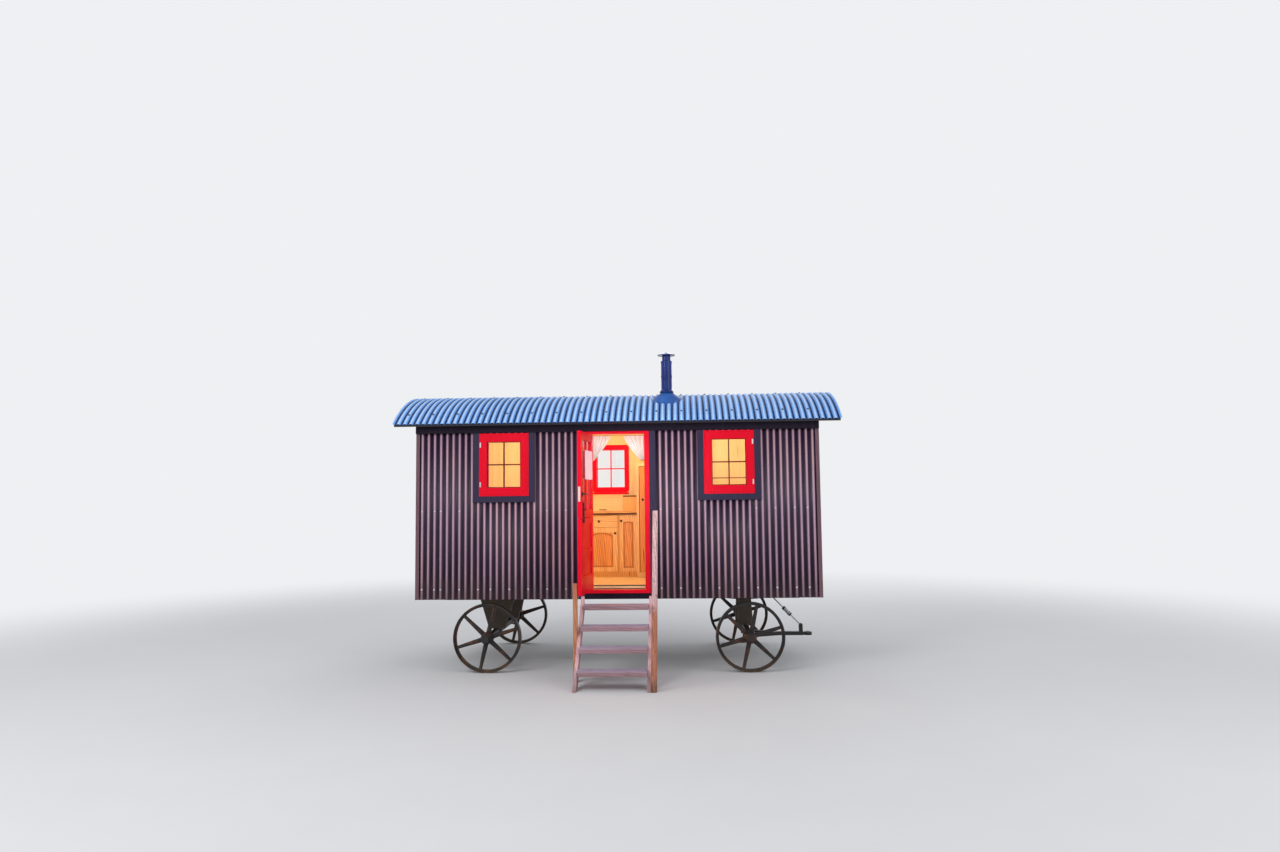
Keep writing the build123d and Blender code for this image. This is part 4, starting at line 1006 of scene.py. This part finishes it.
def dress_window(name, place, hinge_side, bar_paint_and_shade):
    """Sash frame, glazing bars on both faces and two hinges, on a casing from the source."""
    face = -flange_proud - 0.007
    rear = 0.001 - flange_proud
    stiles = [((side * sash_x, face, -sash_z), (side * glass_x, rear, sash_z)) for side in (-1, 1)]
    rails = [((-glass_x, face + 0.0007, side * sash_z), (glass_x, rear, side * glass_z)) for side in (-1, 1)]
    bars(name + "_sash", stiles + rails, 0.003, red_upright, place)
    cross = []
    for near, far in ((-0.013, -0.0003), (0.0043, 0.0163)):
        cross.append(((-bar_half, near, -glass_z), (bar_half, far, glass_z)))
        cross.append(((-glass_x, near + 0.0008, -bar_half), (glass_x, far, bar_half)))
        for side in (-1, 1):
            cross.append(((side * glass_x, near + 0.004, -glass_z), (side * (glass_x - bead), far, glass_z)))
            cross.append(((-glass_x, near + 0.004, side * glass_z), (glass_x, far, side * (glass_z - bead))))
    bars(name + "_glazing_bars", cross, 0.0025, bar_paint_and_shade, place)
    x = hinge_side * (sash_x + 0.004)
    blocks = []
    for z in (-0.24, 0.24):
        for half, near, far in ((0.008, -0.0025, 0.001), (0.0035, -0.007, -0.001)):
            blocks.append(((x - half, face + near, z - 0.030), (x + half, face + far, z + 0.030)))
    bars(name + "_hinges", blocks, 0.0015, steel_bright, place)


# The front windows' bars get a dark brown: painted shade on red bars seen against the lit room; the back
# window's bars keep their red
dress_window("left_window", Matrix.Translation((-window_x, front_y, window_z)), -1, bar_brown)
dress_window("right_window", Matrix.Translation((window_x, front_y, window_z)), 1, bar_brown)
dress_window("back_window", turned((back_window_x, back_y, window_z), math.pi), 1, red_level)

# Small joinery that shows through the doorway, and strips of painted shade round the tall cupboard's door, as
# name, slot, finish, edge and blocks
lining_face = room_back - 0.0085
box_foot = floor_top + 0.8955
# Sides and top of the painted shade strips round the tall cupboard's door
slot_x = -0.341
shade_strip_low, shade_strip_high, shade_strip_top = 0.208, 0.587, 2.505
room_joinery = (
    ("back_window_inner_sill", "pine", pine_level, 0.004,
     [((-0.58, 1.392, 2.075), (0.10, lining_face, 2.102))]),
    ("back_window_inner_apron", "red_paint", red_level, 0.004,
     [((-0.500, 1.472, 2.124), (0.030, lining_face, 2.152))]),
    ("worktop_box", "pine", pine_level, 0.003, [((-0.538, 1.362, box_foot), (-0.052, lining_face, 2.070))]),
    ("worktop_box_slot", "iron", hinge_iron, 0.0015,
     [((slot_x - 0.054, 1.3585, 1.897), (slot_x + 0.054, 1.3625, 1.909))]),
    ("corner_box", "pine", cupboard_pine, 0.003, [((-0.050, 1.335, box_foot), (0.173, lining_face, 2.088))]),
    ("corner_box_lid", "worktop_wood", bar_brown, 0.003,
     [((-0.050, 1.325, 2.0882), (0.173, lining_face, 2.103))]),
    # Dark strips of painted shade where the gap round the tall cupboard's door would shade it
    ("tall_cupboard_shade_strip", "worktop_wood", bar_brown, 0.002,
     [((shade_strip_low, 0.741, 1.064), (shade_strip_low + 0.009, 0.7492, shade_strip_top)),
      ((shade_strip_high - 0.006, 0.741, 1.064), (shade_strip_high, 0.7492, shade_strip_top)),
      ((shade_strip_low + 0.009, 0.741, shade_strip_top - 0.009), (shade_strip_high - 0.006, 0.7492, shade_strip_top))]),
)
for name, slot, finish, edge, blocks in room_joinery:
    bars(name, blocks, edge, finish)


def leaf_bars():
    """Glazing bars of the upper door leaf, on both faces of its glass."""
    low_z, high_z = 1.955, 2.751
    low_x, high_x = leaf_start + 0.095, leaf_end - 0.095
    x = (low_x + high_x) / 2
    z = (low_z + high_z) / 2
    middle = (leaf_outer + leaf_inner) / 2
    blocks = []
    for near, far in ((middle - 0.016, middle - 0.0023), (middle + 0.0023, middle + 0.016)):
        blocks.append(((x - 0.009, near, low_z), (x + 0.009, far, high_z)))
        blocks.append(((low_x, near + 0.0008, z - 0.009), (high_x, far, z + 0.009)))
    bars("door_glazing_bars", blocks, 0.003, red_upright, leaf_frame, "door")


def leaf_bolt():
    """Black bolt inside that joins the upper leaf to the lower: two plates, rod, three staples and knob."""
    x = leaf_end - 0.10
    blocks = []
    for half, near, far, low, high in (
            (0.016, -0.0005, 0.004, 0.018, 0.185), (0.016, -0.0005, 0.004, -0.06, -0.012),
            (0.0065, 0.003, 0.016, -0.05, 0.175), (0.013, 0.003, 0.019, 0.03, 0.05),
            (0.013, 0.003, 0.019, 0.15, 0.17), (0.013, 0.003, 0.019, -0.045, -0.025),
            (0.004, 0.010, 0.036, 0.09, 0.10)):
        blocks.append(((x - half, leaf_inner + near, leaf_split + low),
                       (x + half, leaf_inner + far, leaf_split + high)))
    bars("leaf_bolt", blocks, 0.002, hinge_iron, leaf_frame, "door")


leaf_bars()
leaf_bolt()


# Turned metalwork and rods
def lathed(outline, sides, place=here, closed=False):
    """A turned shape from its outline of (radius, height) points round the upright axis."""
    whole = bmesh.new()
    dots = [whole.verts.new((radius, 0.0, height)) for radius, height in outline]
    after = dots[1:] + dots[:1] if closed else dots[1:]
    lines = [whole.edges.new(pair) for pair in zip(dots, after)]
    bmesh.ops.spin(whole, geom=dots + lines, cent=(0.0, 0.0, 0.0), axis=(0.0, 0.0, 1.0), angle=2 * math.pi,
                   steps=sides, use_merge=True)
    bmesh.ops.remove_doubles(whole, verts=whole.verts[:], dist=1e-6)
    bmesh.ops.recalc_face_normals(whole, faces=whole.faces[:])
    mesh = as_mesh("lathed", whole)
    mesh.transform(place)
    mesh.shade_smooth()
    mesh.set_sharp_from_angle(angle=math.radians(40))
    return mesh


def rose_rod(start, end, y, z, radius, rose):
    """A level rod along x with a round rose at both ends."""
    half = (end - start) / 2
    outline = [(0.0, -half), (rose, -half), (rose, 0.003 - half), (radius, 0.006 - half),
               (radius, half - 0.006), (rose, half - 0.003), (rose, half), (0.0, half)]
    return lathed(outline, 16, turned((start + half, y, z), quarter, "Y"))


def ring(radius, inner, low, high, place):
    return lathed([(inner, low), (radius, low), (radius, high), (inner, high)], 48, place, closed=True)


flue_foot = (flue_x, flue_y, 0.0)
at_flue = Matrix.Translation(flue_foot)


def flue_bands():
    """Storm collar over the cone, two clamp bands with their bolts, and three straps to the cap."""
    collar = [(flue_radius, 3.418), (0.091, 3.401), (0.092, 3.404), (0.0715, 3.432), (flue_radius, 3.434)]
    parts = [lathed(collar, 48, at_flue, closed=True)]
    for low, high in ((3.590, 3.612), (3.772, 3.794)):
        parts.append(ring(flue_radius + 0.003, flue_radius - 0.001, low, high, at_flue))
    piece("flue_bands", parts, "hut", flue_black)
    blocks = []
    for z in (3.592, 3.774):
        for side in (-1, 1):
            blocks.append(((side * 0.003, -0.086, z), (side * 0.006, -flue_radius - 0.001, z + 0.018)))
        blocks.append(((-0.011, -0.081, z + 0.006), (0.011, -0.075, z + 0.012)))
    for turn in range(3):
        strap = ((0.0535, -0.009, 3.800), (0.0565, 0.009, 3.869))
        aim = turned(flue_foot, math.radians(30 + 120 * turn))
        bars(f"cap_strap_{turn}", [strap], 0.001, flue_black, aim)
    aim = turned(flue_foot, math.radians(150))
    bars("flue_clamp_bolts", blocks, 0.001, steel_dull, aim)


def flashing_apron():
    """Soft metal cone over the flue's collar, spread wide at its foot and dressed down over the ridges."""
    foot_reach = 0.170
    collar_reach = 0.0745
    collar_z = 3.396
    rings = 5
    around = 144

    def on_roof(x, y, reach):
        return arch_z + math.sqrt(reach**2 - (y - mid_y) ** 2)

    def flue_side(angle, reach):
        return flue_x + reach * math.cos(angle), flue_y + reach * math.sin(angle)

    def on_cone(angle, share):
        foot = on_roof(*flue_side(angle, foot_reach), roof_radius) + 0.005
        reach = collar_reach + share * (foot_reach - collar_reach)
        return *flue_side(angle, reach), collar_z + share * (foot - collar_z)

    def on_apron(angle, share):
        edge = 0.200 + 0.003 * math.sin(5 * angle) + 0.002 * math.sin(11 * angle + 1.0)
        x, y = flue_side(angle, foot_reach + share * (edge - foot_reach))
        wave = math.cos(2 * math.pi * (x + roof_half_length) / roof_pitch)
        return x, y, on_roof(x, y, roof_radius - (1 - wave) * wave_depth / 2) + 0.004

    whole = bmesh.new()
    angles = [2 * math.pi * turn / around for turn in range(around)]
    places = [(on_cone, step / rings) for step in range(rings)]
    places += [(on_apron, (step + 1) / rings) for step in range(rings)]
    grid = [[whole.verts.new(ring_at(angle, share)) for angle in angles] for ring_at, share in places]
    for inner, outer in zip(grid, grid[1:]):
        for turn in range(around):
            after = (turn + 1) % around
            whole.faces.new((inner[turn], outer[turn], outer[after], inner[after])).smooth = True
    apron = piece("flashing_apron", as_mesh("flashing_apron", whole), "hut", flashing_grey)
    thicken(apron, 0.0025)


def rods_and_rings():
    """Curtain rod and tie-back rings in the doorway, and the rail behind the right-hand window's panes."""
    parts = [rose_rod(door_left + 0.0005, door_right - 0.0005, curtain_y, 2.8405, 0.0045, 0.011)]
    for x, half_x in ((-0.303, 0.025), (0.321, 0.031)):
        squeeze = Matrix.Translation((x, curtain_y, 2.536)) @ Matrix.Diagonal((half_x, 0.0175, 1.0, 1.0))
        parts.append(ring(1.0, 0.90, -0.007, 0.007, squeeze))
    piece("doorway_rod_and_tie_backs", parts, "hut", brass)
    half = glass_x + 0.0155
    rail = rose_rod(window_x - half, window_x + half, -0.622, 2.306, 0.0062, 0.012)
    piece("right_window_rail", rail, "hut", bar_brown)


# Threshold, and fixings underneath
def threshold():
    """Weather bar behind the door sill: a pale strip between two dark ones."""
    dark = [((door_left, -0.650, floor_top + low), (door_right, -0.604, floor_top + high))
            for low, high in ((-0.0005, 0.009), (0.036, 0.045))]
    bars("threshold_seals", dark, 0.0015, hinge_iron)
    strip = ((door_left, -0.652, floor_top + 0.009), (door_right, -0.600, floor_top + 0.036))
    bars("threshold_strip", [strip], 0.002, pine_level)


def tread_screws():
    parts = []
    for step in range(4):
        for side in (-1, 1):
            start = (side * 0.4232, -0.943 - step * 0.220, 0.809 - step * 0.2085)
            parts.append(screw_line(2, start, (0, 0.09, 0), (0, side * quarter, 0), 0.0075, 0.0045))
    piece("tread_screws", parts, "hut")


def axle_clips():
    """Clips that hold the axles up against their posts, each with its plate below."""
    for name, x, body, places in (("rear", -1.581, "hut", (-0.010, 0.890)),
                                  ("front", 1.581, "fore_carriage", (0.230, 0.650))):
        blocks = []
        for y in places:
            for bolt_y in (y - 0.022, y + 0.022):
                for side in (-1, 1):
                    near = (x + side * 0.0385, bolt_y - 0.005, 0.352)
                    blocks.append((near, (x + side * 0.0485, bolt_y + 0.005, 0.530)))
            blocks.append(((x - 0.060, y - 0.034, 0.362), (x + 0.060, y + 0.034, 0.3725)))
        bars(name + "_axle_clips", blocks, 0.002, frame_iron, here, body)


def turnbuckle():
    """Sleeve over the middle of the drawbar's stay, with a lock nut at either end."""
    top = Vector((1.925, mid_y, 0.795))
    run = Vector((2.318, mid_y, 0.395)) - top
    middle = Matrix.Translation(top + 0.55 * run) @ run.to_track_quat("Z", "Y").to_matrix().to_4x4()
    sleeve = [(0.0172, -0.050), (0.0265, -0.048), (0.0265, -0.033), (0.0230, -0.030),
              (0.0230, 0.030), (0.0265, 0.033), (0.0265, 0.048), (0.0172, 0.050)]
    mesh = lathed(sleeve, 24, middle, closed=True)
    piece("stay_turnbuckle", mesh, "fore_carriage", steel_dull)
    nut = [(0.0084, 0.0), (0.0265, 0.0), (0.0290, 0.003), (0.0290, 0.014), (0.0265, 0.017), (0.0084, 0.017)]
    nuts = [lathed(nut, 6, middle @ Matrix.Translation((0.0, 0.0, height)), closed=True)
            for height in (-0.0685, 0.0515)]
    piece("stay_lock_nuts", nuts, "fore_carriage", hinge_iron)


flue_bands()
flashing_apron()
rods_and_rings()
threshold()
tread_screws()
axle_clips()
turnbuckle()


# Curtains
def curtain(name, rows, columns, at, material):
    """A cloth from the function at(across, down), with a flat map of its own cloth."""
    whole = bmesh.new()
    flat = whole.loops.layers.uv.new("cloth")
    grid = [[whole.verts.new(at(c / columns, r / rows)) for c in range(columns + 1)] for r in range(rows + 1)]
    for r in range(rows):
        for c in range(columns):
            shares = ((c, r), (c, r + 1), (c + 1, r + 1), (c + 1, r))
            face = whole.faces.new([grid[row][column] for column, row in shares])
            face.smooth = True
            for loop, (column, row) in zip(face.loops, shares):
                loop[flat].uv = (column / columns, 1 - row / rows)
    return piece(name, as_mesh(name, whole), "hut", material)


def doorway_curtain(name, side, tied_width):
    edge = (door_left + door_right) / 2 + side * 0.335
    top = 2.835
    tie = 2.530
    folds = 7

    def at(across, down):
        # Both cloths run from left to right, so that both face the front
        across = across if side < 0 else 1 - across
        width = tied_width + 0.212 * (1 - down**1.2)
        swell = 0.0120 + 0.0015 * down
        wander = 0.35 * noise.noise(Vector((across * 3.0, down * 2.0, side * 5.0)))
        ripple = math.sin(2 * math.pi * (folds * across + wander))
        z = top - down * (top - tie) - 0.030 * (1 - down) * across * down
        return edge - side * width * across, swell * ripple + curtain_y, z

    return curtain(name, 36, 216, at, lace_white)


def leaf_lace():
    high_z = 2.635
    drop = 0.336
    folds = 14

    def at(across, down):
        sway = 0.0055 * (0.55 + 0.45 * down)
        ripple = math.sin(2 * math.pi * folds * across + 0.8 * math.sin(3.0 * down + across * 5.0))
        x = leaf_start + 0.0965 + 0.386 * across
        return leaf_frame @ Vector((x, leaf_inner + 0.008 + sway * ripple, high_z - drop * down))

    return curtain("door_leaf_lace", 24, folds * 16, at, lace_pink)


left_curtain = doorway_curtain("left_lace_curtain", -1, 0.040)
right_curtain = doorway_curtain("right_lace_curtain", 1, 0.052)
leaf_cloth = leaf_lace()
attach(leaf_cloth, "door")
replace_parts(left_curtain, "door_curtains")
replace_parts(leaf_cloth, "door_leaf_curtain")

# Studio: pale floor and background, soft light, and the hut's own lamp light inside
background_tone = (0.86, 0.87, 0.89)
black = (0.0, 0.0, 0.0)


def ground_pale():
    """Pale floor that turns into the plain background well away from the hut."""
    made = Finish("ground_pale", Specular_IOR_Level=0.0, Emission_Strength=1.0, Roughness=0.9)
    x, y, z = made.split(made.place)
    away = made.math("SQRT", x**2.0 + y**2.0)
    fade = made.out("ShaderNodeMapRange", {0: away, 1: 5.5, 2: 15.0}, interpolation_type="SMOOTHERSTEP")
    near = made.mix(made.noise(made.place, 1.5, 4.0), (0.74, 0.745, 0.76), (0.77, 0.775, 0.785))
    made.join(made.mix(fade, near, black), made.shader.inputs["Base Color"])
    made.join(made.mix(fade, black, background_tone), made.shader.inputs["Emission Color"])
    return made.material


def studio():
    bpy.ops.mesh.primitive_plane_add(size=240.0, location=(0.0, 0.0, 0.0))
    ground = bpy.context.object
    ground.name = "studio_floor"
    dress(ground, ground_pale())
    world = bpy.data.worlds.new("studio_world")
    scene.world = world
    world.use_nodes = True
    world.node_tree.nodes.clear()
    made = Nodes(world.node_tree)
    path = made.put("ShaderNodeLightPath").outputs
    seen = made.math("MAXIMUM", path["Is Camera Ray"], path["Is Glossy Ray"])
    seen = made.math("MAXIMUM", seen, path["Is Transmission Ray"])
    light = made.put("ShaderNodeBackground", {"Color": (0.95, 0.97, 1.0), "Strength": 0.60})
    shown = made.put("ShaderNodeBackground", {"Color": background_tone, "Strength": 1.0})
    both = made.put("ShaderNodeMixShader", {0: seen, 1: light, 2: shown})
    made.put("ShaderNodeOutputWorld", {0: both})


def lamp(name, kind, place, power, **settings):
    data = bpy.data.lights.new(name, kind)
    data.energy = power
    for setting, value in settings.items():
        setattr(data, setting, value)
    light = bpy.data.objects.new(name, data)
    light.location = place
    scene.collection.objects.link(light)
    return light


studio()
# The doorway's light is narrow, so that it leaves the floor in front of the steps alone
hut_middle = (0.0, mid_y, 1.8)
for name, place, aim, size, power, spread in (
        ("key_light", (-6.0, -9.0, 8.0), hut_middle, 5.0, 470.0, math.pi),
        ("fill_light", (8.0, -8.0, 5.0), hut_middle, 6.0, 200.0, math.pi),
        ("back_light", (2.0, 10.0, 7.0), hut_middle, 6.0, 250.0, math.pi),
        ("doorway_light", (0.5, -5.0, 2.2), (0.0, 0.0, 2.35), 0.8, 3.6, math.radians(38))):
    light = lamp(name, "AREA", place, power, size=size, spread=spread)
    light.rotation_euler = (Vector(aim) - Vector(place)).to_track_quat("-Z", "Y").to_euler()
    light.visible_glossy = spread == math.pi
for name, place, power in (("room_lamp_left", (-1.40, 0.35, 2.80), 34.0),
                           ("room_lamp_middle", (0.05, 0.45, 2.85), 9.5),
                           ("room_lamp_right", (1.40, 0.35, 2.80), 34.0)):
    light = lamp(name, "POINT", place, power, color=(1.0, 0.88, 0.66), shadow_soft_size=0.22)
    light.visible_camera = False
    light.visible_glossy = False
    light.visible_transmission = False
